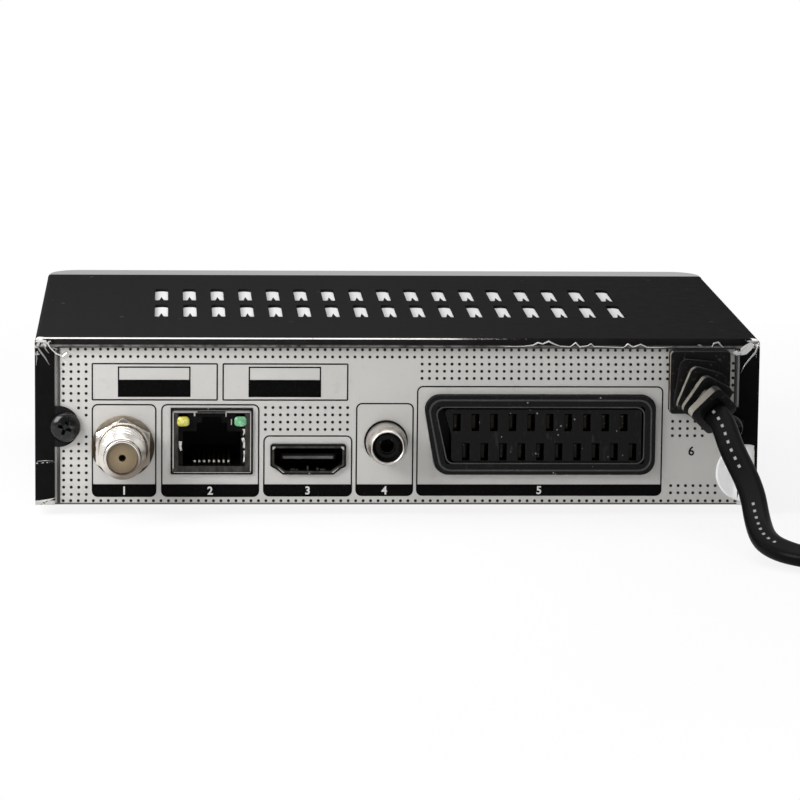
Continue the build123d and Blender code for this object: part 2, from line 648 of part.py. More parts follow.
def network_socket():
    """A screened box with a keyed cavity, eight contacts and two lights."""
    y1 = PANEL_Y + 0.4
    y0 = y1 - NET_D
    wall = 0.35
    shell = prism(rounded(NET_W, NET_H, 0.5), NET_X, NET_Z, y0, y1)
    shell -= prism(Rectangle(NET_W - 2 * wall, NET_H - 2 * wall), NET_X, NET_Z, y0 + wall, y1 + 1)
    front = y1 - 0.3
    body = prism(Rectangle(NET_W - 2 * wall, NET_H - 2 * wall), NET_X, NET_Z, y0 + wall, front)
    cavity_z = BOARD_TOP + 1.6
    cavity = block((NET_X - 5.9, NET_X + 5.9), (front - 12.5, front + 1), (cavity_z, cavity_z + 7.2))
    key = block((NET_X - 3.1, NET_X + 3.1), (front - 11, front + 1), (cavity_z + 7, cavity_z + 9.0))
    latch = block((NET_X - 2.0, NET_X + 2.0), (front - 11, front + 1), (cavity_z + 8.8, cavity_z + 10.2))
    top = BOARD_TOP + NET_H - wall
    pockets, lights = [], []
    for side in (-1, 1):
        x = NET_X + side * (NET_W / 2 - wall - NET_LIGHT_W / 2)
        pockets.append(slab(x, front, top - NET_LIGHT_H, NET_LIGHT_W, 10.0, NET_LIGHT_H))
        lights.append(slab(x, front - 2.4, top - NET_LIGHT_H, NET_LIGHT_W - 0.1, 5.2, NET_LIGHT_H))
    insert = body - cavity - key - latch - pockets
    contacts = []
    for i in range(8):
        x = NET_X + 1.02 * (i - 3.5)
        foot = block((x - 0.25, x + 0.25), (front - 12.5, front - 2), (cavity_z, cavity_z + 0.35))
        rise = Pos(x, front - 7.5, cavity_z + 1.2) * Rot(-14, 0, 0) * Box(0.45, 8.0, 0.35)
        contacts.append(foot + rise)
    return shell, insert, group(contacts), group(lights)


def video_outline(w, h):
    """The socket's section: wide at the top, with both lower corners cut off."""
    cut_x, cut_z = 0.16 * w, 0.42 * h
    points = [
        (-w / 2, h / 2), (w / 2, h / 2), (w / 2, cut_z - h / 2),
        (w / 2 - cut_x, -h / 2), (cut_x - w / 2, -h / 2), (-w / 2, cut_z - h / 2),
    ]
    return fillet(make_face(Polyline(*points, close=True)).vertices(), 0.5)


def video_socket():
    y1 = PANEL_Y + 0.6
    y0 = y1 - VIDEO_D
    shell = prism(video_outline(VIDEO_W, VIDEO_H), VIDEO_X, VIDEO_Z, y0, y1)
    shell -= prism(offset(video_outline(VIDEO_W, VIDEO_H), -0.4), VIDEO_X, VIDEO_Z, y0 + 1, y1 + 1)
    tongue = block(
        (VIDEO_X - 5.5, VIDEO_X + 5.5), (y0 + 1, y1 - 1.2), (VIDEO_Z - 0.15, VIDEO_Z + 1.0)
    )
    return shell, tongue


def coax_socket():
    """A nickel barrel with a rounded nose on a plastic block."""
    tip = PANEL_Y + COAX_REACH
    root = INSIDE_Y - 0.3
    inner_r = COAX_R - COAX_STEP
    shell = rod(COAX_X, COAX_Z, COAX_R, PANEL_Y, tip)
    shell = fillet(shell.faces().sort_by(Axis.Y)[-1].edges(), 0.7)
    shell += rod(COAX_X, COAX_Z, inner_r, root - 6, PANEL_Y)
    shell -= rod(COAX_X, COAX_Z, 3.1, root - 5, tip + 1)
    body = slab(COAX_X, root - 5.5, BOARD_TOP, COAX_BODY_W, 11.0, COAX_RISE + 5.6)
    body -= rod(COAX_X, COAX_Z, inner_r + 0.02, root - 6, root + 1)
    core = rod(COAX_X, COAX_Z, 3.1, root - 5, tip - 3.5)
    core -= rod(COAX_X, COAX_Z, 1.75, root - 3, tip)
    contact = rod(COAX_X, COAX_Z, 1.75, root - 3, tip - 4.5)
    contact -= rod(COAX_X, COAX_Z, 1.4, root - 1, tip)
    return shell, group([body, core]), contact


def av_outline():
    """The 21-way socket's outline, seen from the back, with its keyed side on the left."""
    w, h = AV_W, AV_H
    points = [(-w / 2, h / 2), (w / 2, h / 2), (w / 2, -h / 2), (AV_SLANT - w / 2, -h / 2)]
    return fillet(make_face(Polyline(*points, close=True)).vertices(), 3.0)


def av_block_outline():
    left, right = -AV_W / 2 + 4.3, AV_W / 2 - 2.85
    low, high = 2.7 - AV_H / 2, AV_H / 2 - 2.9
    points = [(left, high), (right, high), (right, low), (left + 1.6, low), (left + 1.6, 0)]
    return fillet(make_face(Polyline(*points, close=True)).vertices(), 0.7)


def av_slot_places():
    top, low = AV_H / 2 - 5.6, 4.7 - AV_H / 2
    first = 7.0
    return [
        (AV_MID + AV_W / 2 - first - AV_PITCH * i - shift, AV_Z + z)
        for z, shift in ((top, 0.0), (low, AV_PITCH / 2)) for i in range(AV_SLOTS)
    ]


def av_socket():
    front = PANEL_Y + AV_PROUD
    body = prism(av_outline(), AV_MID, AV_Z, front - AV_D - AV_PROUD, front)
    cavity = prism(offset(av_outline(), -AV_RIM), AV_MID, AV_Z, front - AV_MOAT, front + 1)
    core = prism(av_block_outline(), AV_MID, AV_Z, front - AV_MOAT - 1, front - 0.4)
    housing = body - cavity + core
    contacts = []
    for x, z in av_slot_places():
        housing -= prism(Rectangle(AV_SLOT_W, AV_SLOT_H), x, z, front - 7, front + 1)
        contacts.append(prism(Rectangle(0.6, AV_SLOT_H - 0.8), x + 0.3, z, front - 7, front - 1.6))
    return housing, group(contacts)


def transformer():
    w, d, h = TRANSFORMER
    x, y, z = TRANSFORMER_X, (MAIN_FRONT_Y + POWER_REAR_Y) / 2, BOARD_TOP
    core = slab(x, y, z + 3, w, 6.0, h - 3)
    bobbin = slab(x, y, z, w - 1, d, 3.0) + slab(x, y, z + h - 3, w - 1, d - 2, 1.6)
    winding = post(x, y, 7.0, z + 2.95, z + h - 2.95)
    return core + bobbin + winding


def bulk_capacitor():
    r, h = BULK_CAN
    can = post(CHOKE_X - 3.0, MAIN_FRONT_Y + r + 3.2, r, BOARD_TOP, BOARD_TOP + h)
    return fillet(can.faces().sort_by(Axis.Z)[-1].edges(), 0.8)


def mains_choke():
    w, d, h = CHOKE
    x, y, base, top = CHOKE_X, POWER_REAR_Y - 18.0, 2.0, 1.6
    core = slab(x, y, BOARD_TOP, w, d, base)
    core += slab(x, y, BOARD_TOP + base - 0.1, w - 2, d - 2, h - base - top + 0.2)
    return core + slab(x, y, BOARD_TOP + h - top, w, d - 1, top)


def fuse():
    """A glass tube between two end caps, held in a clip at each end."""
    r, cap_l = FUSE_CAP_R, 4.8
    x, y, z = FUSE_X, POWER_REAR_Y - 20.0, BOARD_TOP + r + 1.5
    parts = [rod(x, z, r - 0.4, y - FUSE_L / 2 + cap_l / 2, y + FUSE_L / 2 - cap_l / 2)]
    for end in (-1, 1):
        centre = y + end * (FUSE_L - cap_l) / 2
        parts.append(rod(x, z, r, centre - cap_l / 2, centre + cap_l / 2))
        parts.append(slab(x, centre, BOARD_TOP, 2 * r, 3.0, 3.0))
    return parts[0] + parts[1:]


# ---------------------------------------------------------------- inner leads
def lead(points, r, radius):
    """A round lead along straight runs and arcs."""
    path = FilletPolyline(*points, radius=radius)
    start = (Vector(points[1]) - Vector(points[0])).normalized()
    section = Plane(origin=points[0], z_dir=start) * Circle(r)
    return sweep(section, path=path)


def mains_wires():
    """Two insulated cores from the lead's inner end to a plug on the power board."""
    x, y = INLET_AT
    top = BOARD_TOP + 9.0
    made = [slab(x, y, BOARD_TOP, 9.0, 6.5, 9.0)]
    for side in (-1, 1):
        points = [
            (RELIEF_X + side * 1.3, inner_relief_y(), RELIEF_Z),
            (RELIEF_X + side * 1.3, inner_relief_y() - 14, RELIEF_Z),
            (x + side * 2.2, y + 9, top + 8.0),
            (x + side * 2.2, y, top + 6.5),
            (x + side * 2.2, y, top),
        ]
        made.append(lead(points, 1.0, 2.5))
    return made[0] + made[1] + made[2]


def power_harness():
    """Five cores between a plug on each board."""
    x0, x1, top = CAN_X, HARNESS_X, BOARD_TOP + HARNESS_PLUG[2]
    made = slab(x0, HARNESS_Y, BOARD_TOP, *HARNESS_PLUG) + slab(x1, HARNESS_Y, BOARD_TOP, *HARNESS_PLUG)
    for i in range(5):
        y = HARNESS_Y + HARNESS_PITCH * (i - 2)
        points = [(x0, y, top), (x0, y, top + 4.5), (x1, y, top + 4.5), (x1, y, top)]
        made += lead(points, 0.65, 2.2)
    return made


def front_ribbon():
    """A flat lead with a plug at each end, from the main board up to the front board."""
    x, w, t = MAIN_ARM_X + 15.0, 11.0, 0.9
    y1 = MAIN_FRONT_Y + 4.0
    back = BOARD_Y + FRONT_BOARD_T
    z_plug, z_top = FRONT_MID_Z, BOARD_TOP + 6.0
    plug_low = slab(x, y1, BOARD_TOP, w + 3, 4.0, 6.0)
    plug_high = block((x - w / 2 - 1.5, x + w / 2 + 1.5), (back, back + 2.2), (z_plug - 2.2, z_plug + 2.2))
    strip = block((x - w / 2, x + w / 2), (back + 2.2, y1 + t / 2), (z_plug - t / 2, z_plug + t / 2))
    drop = block((x - w / 2, x + w / 2), (y1 - t / 2, y1 + t / 2), (z_top, z_plug + t / 2))
    return plug_low + plug_high + strip + drop


# ---------------------------------------------------------------- mains lead
def neck_w():
    return 0.62 * RELIEF_W


def neck_h():
    return 0.58 * RELIEF_H


def inner_relief_y():
    return INSIDE_Y - 3.0


def between(pair, t):
    return pair[0] + (pair[1] - pair[0]) * t


def relief_place(t):
    """The plane of the relief's section, from the block's face at 0 to its end at 1."""
    yaw, dip = (math.radians(between(pair, t)) for pair in (RELIEF_YAW, RELIEF_DIP))
    ahead = Vector(
        -math.sin(yaw) * math.cos(dip), math.cos(yaw) * math.cos(dip), -math.sin(dip)
    )
    side = Vector(0, 0, 1).cross(ahead).normalized()
    side = side.rotate(Axis((0, 0, 0), tuple(ahead)), between(RELIEF_ROLL, t))
    sag = t * t * 0.35 + t * 0.65
    origin = Vector(RELIEF_X, PANEL_Y + RELIEF_T, RELIEF_Z) + Vector(
        RELIEF_SHIFT[0] * sag, (RELIEF_SHIFT[1] - RELIEF_T) * t, RELIEF_SHIFT[2] * sag
    )
    return Plane(origin=origin, x_dir=side, z_dir=ahead)


def strain_relief():
    """A block on the panel with a ribbed neck that bends and twists with the lead."""
    made = prism(rounded(RELIEF_W, RELIEF_H, 0.8), RELIEF_X, RELIEF_Z, PANEL_Y, PANEL_Y + RELIEF_T)
    made += prism(rounded(neck_w(), neck_h(), 1.4), RELIEF_X, RELIEF_Z, inner_relief_y(), PANEL_Y)
    made += prism(
        rounded(neck_w() + 1.6, neck_h() + 1.6, 1.4),
        RELIEF_X, RELIEF_Z, inner_relief_y(), inner_relief_y() + 2.9,
    )
    count = RELIEF_RIBS
    stations = [i / count for i in range(count + 1)]
    core = rounded(6.6, 5.6, 1.6)
    for low, high in zip(stations, stations[1:]):
        made += loft([relief_place(low) * core, relief_place(high) * core])
    for i, t in enumerate(stations[1:]):
        shrink = 1 - 0.06 * i / count
        plate = rounded(RELIEF_RIB_W * shrink, RELIEF_RIB_H * shrink, 1.5)
        made += extrude(relief_place(t) * plate, -RELIEF_RIB_T)
    return made


def cord_route():
    """Hand-chosen points of the lead, from the relief to its coil, from the panel's face."""
    place = relief_place(1)
    start, ahead = place.origin, place.z_dir
    second = start + ahead * 7.5
    y = PANEL_Y
    rest = [
        (-68.1, y + 29.5, 15.2),
        (-70.3, y + 39.0, 8.8),
        (-74.4, y + 48.2, 4.2),
        (-81.4, y + 56.4, 2.9),
        (-91.5, y + 61.9, 2.8),
        (-103.5, y + 63.4, 2.9),
        (-115.0, y + 60.6, 3.1),
        (-124.5, y + 57.5, 3.2),
    ]
    return [tuple(start), tuple(second), *rest]


def arc_radii(points):
    """For each inner corner, 0.45 of the shorter run over the tangent of half the turn."""
    radii = []
    for before, here, after in zip(points, points[1:], points[2:]):
        into, out = Vector(here) - Vector(before), Vector(after) - Vector(here)
        half = math.radians(into.get_angle(out)) / 2
        radii.append(0.45 * min(into.length, out.length) / math.tan(half))
    return radii


def power_cord():
    points = cord_route()
    radii = arc_radii(points)
    print("cord radii", [round(r, 1) for r in radii])
    path = FilletPolyline(*points, radius=radii)
    start = (Vector(points[1]) - Vector(points[0])).normalized()
    tube = sweep(Plane(origin=points[0], z_dir=start) * Circle(CORD_R), path=path)
    expected = math.pi * CORD_R**2 * path.length
    print("cord length", round(path.length, 1), "volume over section x length", tube.volume / expected)
    return tube


def cord_coil():
    x, y = COIL_AT
    low = TIE_T
    ring = post(x, y, COIL_OUT, low, low + COIL_H) - post(x, y, COIL_IN, -1, low + COIL_H + 1)
    return fillet(ring.edges().filter_by(GeomType.CIRCLE), 1.5)


def cord_tie():
    """A flat strap round the coil's turns."""
    x, y = COIL_AT
    mid = y - (COIL_OUT + COIL_IN) / 2
    deep = COIL_OUT - COIL_IN
    outer = block(
        (x - TIE_W / 2, x + TIE_W / 2),
        (mid - deep / 2 - 2.2, mid + deep / 2 + 2.2),
        (0, 2 * TIE_T + COIL_H),
    )
    inner = block(
        (x - TIE_W, x + TIE_W),
        (mid - deep / 2 - 1.6, mid + deep / 2 + 1.0),
        (TIE_T, TIE_T + COIL_H),
    )
    return outer - inner


def plug():
    """A flat two-pin plug that lies across the coil, with its pins towards +X."""
    x, y = COIL_AT
    low = TIE_T + COIL_H
    z = low + PLUG_T / 2
    x0 = x - PLUG_BACK
    points = [
        (x0, -5.5), (x0 + 6, -7.5), (x0 + 20, -PLUG_W / 2), (x0 + PLUG_L, -PLUG_W / 2),
        (x0 + PLUG_L, PLUG_W / 2), (x0 + 20, PLUG_W / 2), (x0 + 6, 7.5), (x0, 5.5),
    ]
    outline = Pos(0, y) * make_face(Polyline(*points, close=True))
    body = extrude(Pos(0, 0, low) * outline, PLUG_T)
    body = fillet(body.faces().sort_by(Axis.Z)[-1].edges() + body.faces().sort_by(Axis.Z)[0].edges(), 1.8)
    pins = []
    for side in (-1, 1):
        pin = Rot(0, 90, 0) * Cylinder(PIN_R, PIN_L)
        pin = Pos(x0 + PLUG_L + PIN_L / 2, y + side * PIN_PITCH / 2, z) * pin
        pins.append(chamfer(pin.faces().sort_by(Axis.X)[-1].edges(), 0.7))
    return body, group(pins)


# ---------------------------------------------------------------- the whole part
def main():
    save("top_cover", top_cover())
    save("vent_screen", vent_screen())
    save("chassis_tray", chassis_tray())
    save("rear_panel", rear_panel())
    save("rear_screws", rear_screws())
    save("rubber_feet", rubber_feet())

    save("front_bezel", front_bezel())
    save("display_window", display_window())
    save("front_board", front_board())
    save("switch_bodies", switch_bodies())
    save("led_display", led_display())
    save("ir_receiver", ir_receiver())
    port_shell, port_tongue = data_port()
    save("data_port_shell", port_shell)
    save("data_port_tongue", port_tongue)
    save("power_button", key_cap(POWER_KEY_X, Circle(POWER_KEY_R), Circle(POWER_RIM_R)))
    save("power_plunger", plunger(POWER_KEY_X))
    for name, x in zip(("channel_down", "channel_up"), CHANNEL_KEYS_X):
        save(f"{name}_button", key_cap(x, key_outline(), key_outline(KEY_RIM_OUT)))
        save(f"{name}_plunger", plunger(x))

    save("main_board", main_board())
    save("power_board", power_board())
    save("board_pillars", board_pillars())
    save("board_screws", board_screws())
    save("insulation_sheet", insulation_sheet())
    save("processor", processor())
    save("heatsink", heatsink())
    save("memory_chips", memory_chips())
    save("electrolytic_capacitors", electrolytic_capacitors())
    save("tuner_can", tuner_can())
    for name, shape in zip(
        ("aerial_barrel", "aerial_nut", "aerial_washer", "aerial_insulator", "aerial_contact"),
        aerial_socket(),
    ):
        save(name, shape)
    for name, shape in zip(
        ("network_shell", "network_insert", "network_contacts", "network_lights"), network_socket()
    ):
        save(name, shape)
    for name, shape in zip(("video_shell", "video_tongue"), video_socket()):
        save(name, shape)
    for name, shape in zip(("coax_shell", "coax_body", "coax_contact"), coax_socket()):
        save(name, shape)
    for name, shape in zip(("av_housing", "av_contacts"), av_socket()):
        save(name, shape)
    save("transformer", transformer())
    save("bulk_capacitor", bulk_capacitor())
    save("mains_choke", mains_choke())
    save("fuse", fuse())
    save("mains_wires", mains_wires())
    save("power_harness", power_harness())
    save("front_ribbon", front_ribbon())

    save("strain_relief", strain_relief())
    save("power_cord", power_cord())
    save("cord_coil", cord_coil())
    save("cord_tie", cord_tie())
    plug_body, plug_pins = plug()
    save("plug_body", plug_body)
    save("plug_pins", plug_pins)


main()
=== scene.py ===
"""Finishes, printed socket panel, mains lead and studio of a satellite receiver."""
import json
import math

import bmesh
import bpy
from mathutils import Matrix, Vector


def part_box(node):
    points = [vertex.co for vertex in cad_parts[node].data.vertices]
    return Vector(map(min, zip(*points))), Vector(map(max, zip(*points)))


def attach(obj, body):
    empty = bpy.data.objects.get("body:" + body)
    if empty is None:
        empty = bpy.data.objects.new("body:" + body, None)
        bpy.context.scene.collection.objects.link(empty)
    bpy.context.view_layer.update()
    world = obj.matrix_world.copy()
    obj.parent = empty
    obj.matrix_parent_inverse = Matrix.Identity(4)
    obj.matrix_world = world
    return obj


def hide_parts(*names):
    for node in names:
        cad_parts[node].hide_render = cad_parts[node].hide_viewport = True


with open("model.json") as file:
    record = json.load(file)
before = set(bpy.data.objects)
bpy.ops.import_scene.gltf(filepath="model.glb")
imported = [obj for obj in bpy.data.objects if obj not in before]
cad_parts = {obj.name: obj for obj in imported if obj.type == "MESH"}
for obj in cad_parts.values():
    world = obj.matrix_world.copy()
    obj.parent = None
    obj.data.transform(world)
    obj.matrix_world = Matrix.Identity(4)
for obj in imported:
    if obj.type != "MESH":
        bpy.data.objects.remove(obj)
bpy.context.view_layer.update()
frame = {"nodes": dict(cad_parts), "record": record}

# ------------------------------------------------------------------ places, in mm, from the frame
MM = 0.001
ROOT = "receiver"


def corners(node):
    """A node's lowest and highest corner, in mm."""
    low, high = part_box(node)
    return Vector(low) / MM, Vector(high) / MM


def middle(node):
    low, high = corners(node)
    return (low + high) / 2


LID_LOW, LID_HIGH = corners("top_cover")
SIDE_X, LIP_Y, TOP_Z = LID_HIGH
BASE_Z = LID_LOW.z
PANEL_Y = corners("rear_panel")[1].y
AERIAL = middle("aerial_nut")
AERIAL_TIP_Y = corners("aerial_barrel")[1].y
NUT_FACE_Y = corners("aerial_nut")[1].y
NETWORK = middle("network_shell")
VIDEO = middle("video_shell")
COAX = middle("coax_shell")
RELIEF_LOW, RELIEF_HIGH = corners("strain_relief")
RELIEF_X, RELIEF_Z = -61.6, 27.8
COIL = middle("cord_coil")
PLUG_LOW, PLUG_HIGH = corners("plug_body")
DISPLAY = middle("led_display")
DISPLAY_FACE = corners("led_display")[0].y
LIP_LOW = TOP_Z - 1.9  # lower edge of the lid's lip above the panel


# ------------------------------------------------------------------ shader words
def both_ways(operation):
    """An operator's methods, for a value on its left and for a value on its right."""
    def left(self, other):
        return self.math(operation, self, other)

    def right(self, other):
        return self.math(operation, other, self)
    return left, right


class Value:
    """A shader value; arithmetic on it adds the Math nodes."""

    __add__, __radd__ = both_ways("ADD")
    __sub__, __rsub__ = both_ways("SUBTRACT")
    __mul__, __rmul__ = both_ways("MULTIPLY")
    __truediv__, __rtruediv__ = both_ways("DIVIDE")
    __gt__, __lt__ = both_ways("GREATER_THAN")
    either, _ = both_ways("MAXIMUM")
    remainder, _ = both_ways("FLOORED_MODULO")

    def __init__(self, paint, socket):
        self.paint = paint
        self.socket = socket

    def __abs__(self):
        return self.math("ABSOLUTE", self)

    def math(self, operation, *terms):
        return self.paint.node("ShaderNodeMath", {"operation": operation}, dict(enumerate(terms)))

    def ramp(self, low, high, to_low=0.0, to_high=1.0):
        """From low to high this value brings to_low to to_high, and stays there beyond."""
        return self.paint.node(
            "ShaderNodeMapRange", {"clamp": True},
            {"Value": self, 1: low, 2: high, 3: to_low, 4: to_high},
        )


class Paint:
    """One material, built from nodes; lengths in its patterns are mm."""

    def __init__(self, name, owner=None):
        self.material = owner or bpy.data.materials.new(name)
        self.material.use_nodes = True
        self.tree = self.material.node_tree
        self.tree.nodes.clear()
        self.point = self.vector("SCALE", self.node("ShaderNodeTexCoord", output="Object"), scale=1 / MM)
        self.x, self.y, self.z = self.split(self.point)

    def node(self, kind, settings=None, inputs=None, output=0):
        """Adds a node, with its settings first and then the values or links of its sockets."""
        made = self.tree.nodes.new(kind)
        for name, value in (settings or {}).items():
            if name == "stops":
                self.stops(made.color_ramp.elements, value)
            else:
                setattr(made, name, value)
        for name, value in (inputs or {}).items():
            if isinstance(value, Value):
                self.tree.links.new(value.socket, made.inputs[name])
            else:
                made.inputs[name].default_value = value
        return Value(self, made.outputs[output])

    def stops(self, elements, value):
        while len(elements) < len(value):
            elements.new(0.5)
        for stop, (place, colour) in zip(elements, value):
            stop.position, stop.color = place, colour

    def vector(self, operation, a, b=None, scale=None, output=0):
        inputs = {0: a, 1: b, "Scale": scale}
        inputs = {name: value for name, value in inputs.items() if value is not None}
        return self.node("ShaderNodeVectorMath", {"operation": operation}, inputs, output)

    def split(self, vector):
        """The three axes of a vector."""
        return [self.node("ShaderNodeSeparateXYZ", inputs={0: vector}, output=axis) for axis in "XYZ"]

    def normal(self):
        return self.split(self.node("ShaderNodeNewGeometry", output="Normal"))

    def distance(self, place):
        return self.vector("DISTANCE", self.point, place, output="Value")

    def mix(self, factor, a, b):
        return self.node("ShaderNodeMix", {"data_type": "RGBA"}, {0: factor, 6: a, 7: b}, output=2)

    def noise(self, scale, detail=3.0, stretch=None, rough=0.5):
        """Noise with scale cells per mm, from 0 to 1, stretched along an axis where asked."""
        place = self.point if stretch is None else self.vector("MULTIPLY", self.point, stretch)
        inputs = {"Vector": place, "Scale": scale, "Detail": detail, "Roughness": rough}
        return self.node("ShaderNodeTexNoise", inputs=inputs)

    def cells(self, scale):
        return self.node("ShaderNodeTexVoronoi", inputs={"Vector": self.point, "Scale": scale})

    def bump(self, height, depth, strength=1.0, normal=None):
        """A Normal from a height of 0 to 1, depth mm deep."""
        inputs = {"Height": height, "Distance": depth * MM, "Strength": strength}
        if normal is not None:
            inputs["Normal"] = normal
        return self.node("ShaderNodeBump", inputs=inputs)

    def surface(self, **sockets):
        """The Principled shader; Base_Color stands for the socket Base Color."""
        inputs = {name.replace("_", " "): value for name, value in sockets.items()}
        shader = self.node("ShaderNodeBsdfPrincipled", inputs=inputs)
        self.out(shader)
        return self.material

    def out(self, shader):
        world = isinstance(self.material, bpy.types.World)
        made = self.tree.nodes.new("ShaderNodeOutputWorld" if world else "ShaderNodeOutputMaterial")
        self.tree.links.new(shader.socket, made.inputs["Surface"])

    def seen(self):
        """A mask that is 1 for what the camera, a gloss or a clear piece shows."""
        ways = ("Camera", "Glossy", "Transmission")
        rays = [self.node("ShaderNodeLightPath", output=f"Is {way} Ray") for way in ways]
        return rays[0].either(rays[1]).either(rays[2])


def grey(level, warmth=0.0):
    """A grey; positive warmth leans to yellow and negative to blue."""
    return (level * (1 + warmth), level, level * (1 - warmth), 1.0)


def inside(value, low, high, soft):
    """A mask that is 1 where the value lies between low and high."""
    return value.ramp(low - soft, low + soft) * value.ramp(high - soft, high + soft, 1.0, 0.0)


# ------------------------------------------------------------------ finishes of the case
LIP_DEEP = 4.1  # mm; how far the lid's lip reaches in from the case's side


def lid_wear(paint):
    """Where the lid's paint is gone: along the rear folds and most at the two rear corners; the bare line on
    the top rear fold, strongest towards +X, is partly a painted highlight.
    """
    ragged = paint.noise(0.9, 4.0, rough=0.65)
    fine = paint.noise(2.6, 3.0)
    rear = paint.y > LIP_Y - 0.95
    # Along the top rear fold the bare line is partly wear and partly a painted highlight, strongest towards
    # +X.
    fold = inside(TOP_Z - paint.z, 0.04, 0.24, 0.06) * rear
    fold = fold * (paint.noise(0.1, 2.0) * 0.3 + fine * 0.2 + paint.x * 0.004).ramp(0.14, 0.26)
    side = SIDE_X - abs(paint.x)
    corner = (side + (TOP_Z - paint.z) + (LIP_Y - paint.y) * 1.2) / 9.0
    corner = (ragged + corner * 0.42).ramp(0.59, 0.55) * (paint.y > LIP_Y - 3.5)
    upright = inside(side, -1.0, 0.25, 0.08) * (paint.y > LIP_Y - 0.8) * ragged.ramp(0.66, 0.7)
    foot = (paint.z < BASE_Z + 0.9) * (paint.y > LIP_Y - 0.9) * (side < LIP_DEEP) * ragged.ramp(0.38, 0.46)
    scratch = inside(paint.z + paint.x * 0.06, 15.0, 15.16, 0.04) * (paint.y > LIP_Y - 0.7)
    scratch = scratch * (side < LIP_DEEP) * (paint.x > 0) * fine.ramp(0.45, 0.55)
    return fold.either(corner).either(upright).either(foot).either(scratch)


def two_tone(name, noise, colours, rough, span=None, bump=None, **sockets):
    """A finish whose colour and roughness follow one noise; rough is its base and the noise's share."""
    paint = Paint(name)
    pattern = paint.noise(*noise)
    if bump:
        sockets["Normal"] = paint.bump(pattern, *bump)
    tone = pattern.ramp(*span) if span else pattern
    return paint.surface(
        Base_Color=paint.mix(tone, *colours), Roughness=rough[0] + pattern * rough[1], **sockets
    )


def lid_paint():
    """Satin black stove paint on steel, finely grained, with dust and worn folds; darker on its side lips,
    with painted shade towards -X and a painted highlight along its top rear fold.
    """
    paint = Paint("lid_paint")
    bare = lid_wear(paint)
    dust = paint.noise(0.3, 5.0).ramp(0.4, 0.8)
    grain = paint.noise(3.2, 3.0)
    black = paint.mix(dust, grey(0.011, 0.02), grey(0.018, 0.01))
    specks = paint.cells(0.16).ramp(0.05, 0.09, 1.0, 0.0) * paint.noise(0.2).ramp(0.55, 0.6)
    black = paint.mix(specks * 0.5, black, grey(0.12, 0.03))
    # Darker on the side lips, and painted shade that darkens the lid towards -X.
    side_lip = (paint.y > LIP_Y - 0.8) * (SIDE_X - abs(paint.x) < LIP_DEEP) * 0.75
    black = paint.mix(side_lip.either(paint.x.ramp(-75.0, 10.0, 0.5, 0.0)), black, grey(0.004))
    hem = inside(paint.z, LIP_LOW, LIP_LOW + 0.5, 0.12) * (paint.y > LIP_Y - 0.6)
    black = paint.mix(hem * paint.noise(0.5, 2.0).ramp(0.25, 0.6), black, grey(0.14, 0.03))
    steel = paint.mix(grain, grey(0.5, 0.03), grey(0.8, 0.02))
    step = paint.bump(1 - bare, 0.06)
    return paint.surface(
        Base_Color=paint.mix(bare, black, steel),
        Metallic=bare,
        Roughness=0.5 + dust * 0.14 - bare * 0.15,
        Specular_IOR_Level=0.0012,
        Normal=paint.bump(grain, 0.02, 0.5, step),
    )


def hem_grey_band():
    """The same black paint, greyer in patches: the mid grey of the hems between the lip and the panel."""
    return two_tone(
        "hem_grey_band", (0.5, 3.0, (0.2, 1.0, 0.2)), (grey(0.02, 0.02), grey(0.12, 0.03)),
        (0.36, 0.1), (0.35, 0.7), Specular_IOR_Level=0.3,
    )


def panel_lacquer():
    """Silver lacquer with a faint metallic fleck and faint random dirt, darker along its low edge, with
    painted shade under the lid's lip.
    """
    paint = Paint("panel_lacquer")
    fleck = paint.noise(9.0, 2.0)
    cloud = paint.noise(0.06, 3.0)
    silver = paint.mix(cloud, (0.48, 0.47, 0.45, 1.0), (0.54, 0.53, 0.51, 1.0))
    silver = paint.mix(fleck.ramp(0.35, 0.75) * 0.25, silver, grey(0.64, 0.02))
    # Random dirt, and darker along the panel's lowest 0.36 mm.
    grime_and_shade = (paint.noise(0.35, 4.0).ramp(0.6, 0.8) * 0.12).either(paint.z < BASE_Z + 0.36)
    # Painted shade under the lid's lip.
    grime_and_shade = grime_and_shade.either(paint.z.ramp(LIP_LOW - 2.2, LIP_LOW, 0.0, 0.45))
    return paint.surface(
        Base_Color=paint.mix(grime_and_shade, silver, (0.1, 0.09, 0.08, 1.0)),
        Metallic=0.15,
        Roughness=0.42 + cloud * 0.12,
        Normal=paint.bump(fleck, 0.008, 0.4),
    )


def zinc_plate(name, tint=0.0, dark=0.0):
    """Zinc-plated sheet with its crystals, rolled lines and dull spots."""
    paint = Paint(name)
    crystals = paint.cells(0.35)
    rolled = paint.noise(1.2, 3.0, (0.05, 1.0, 1.0))
    dull = paint.noise(0.15, 4.0).ramp(0.5, 0.8)
    zinc = paint.mix(crystals * 0.6 + rolled * 0.4, grey(0.45 - dark, tint), grey(0.66 - dark, tint))
    return paint.surface(
        Base_Color=paint.mix(dull * 0.5, zinc, grey(0.3 - dark / 2, 0.03)),
        Metallic=0.95,
        Roughness=0.3 + dull * 0.25,
        Normal=paint.bump(rolled, 0.01, 0.4),
    )


def screw_black():
    """Blackened screws: glossy where the oxide is smooth, greyer where a driver has rubbed it."""
    paint = Paint("screw_black")
    turned = paint.noise(2.0, 3.0)
    rubbed = paint.noise(1.1, 3.0).ramp(0.6, 0.75)
    return paint.surface(
        Base_Color=paint.mix(rubbed, grey(0.004), grey(0.05, 0.03)),
        Specular_IOR_Level=0.3,
        Roughness=0.14 + turned * 0.12,
        Coat_Weight=0.2 + rubbed * 0.1,
        Normal=paint.bump(turned, 0.01, 0.3),
    )


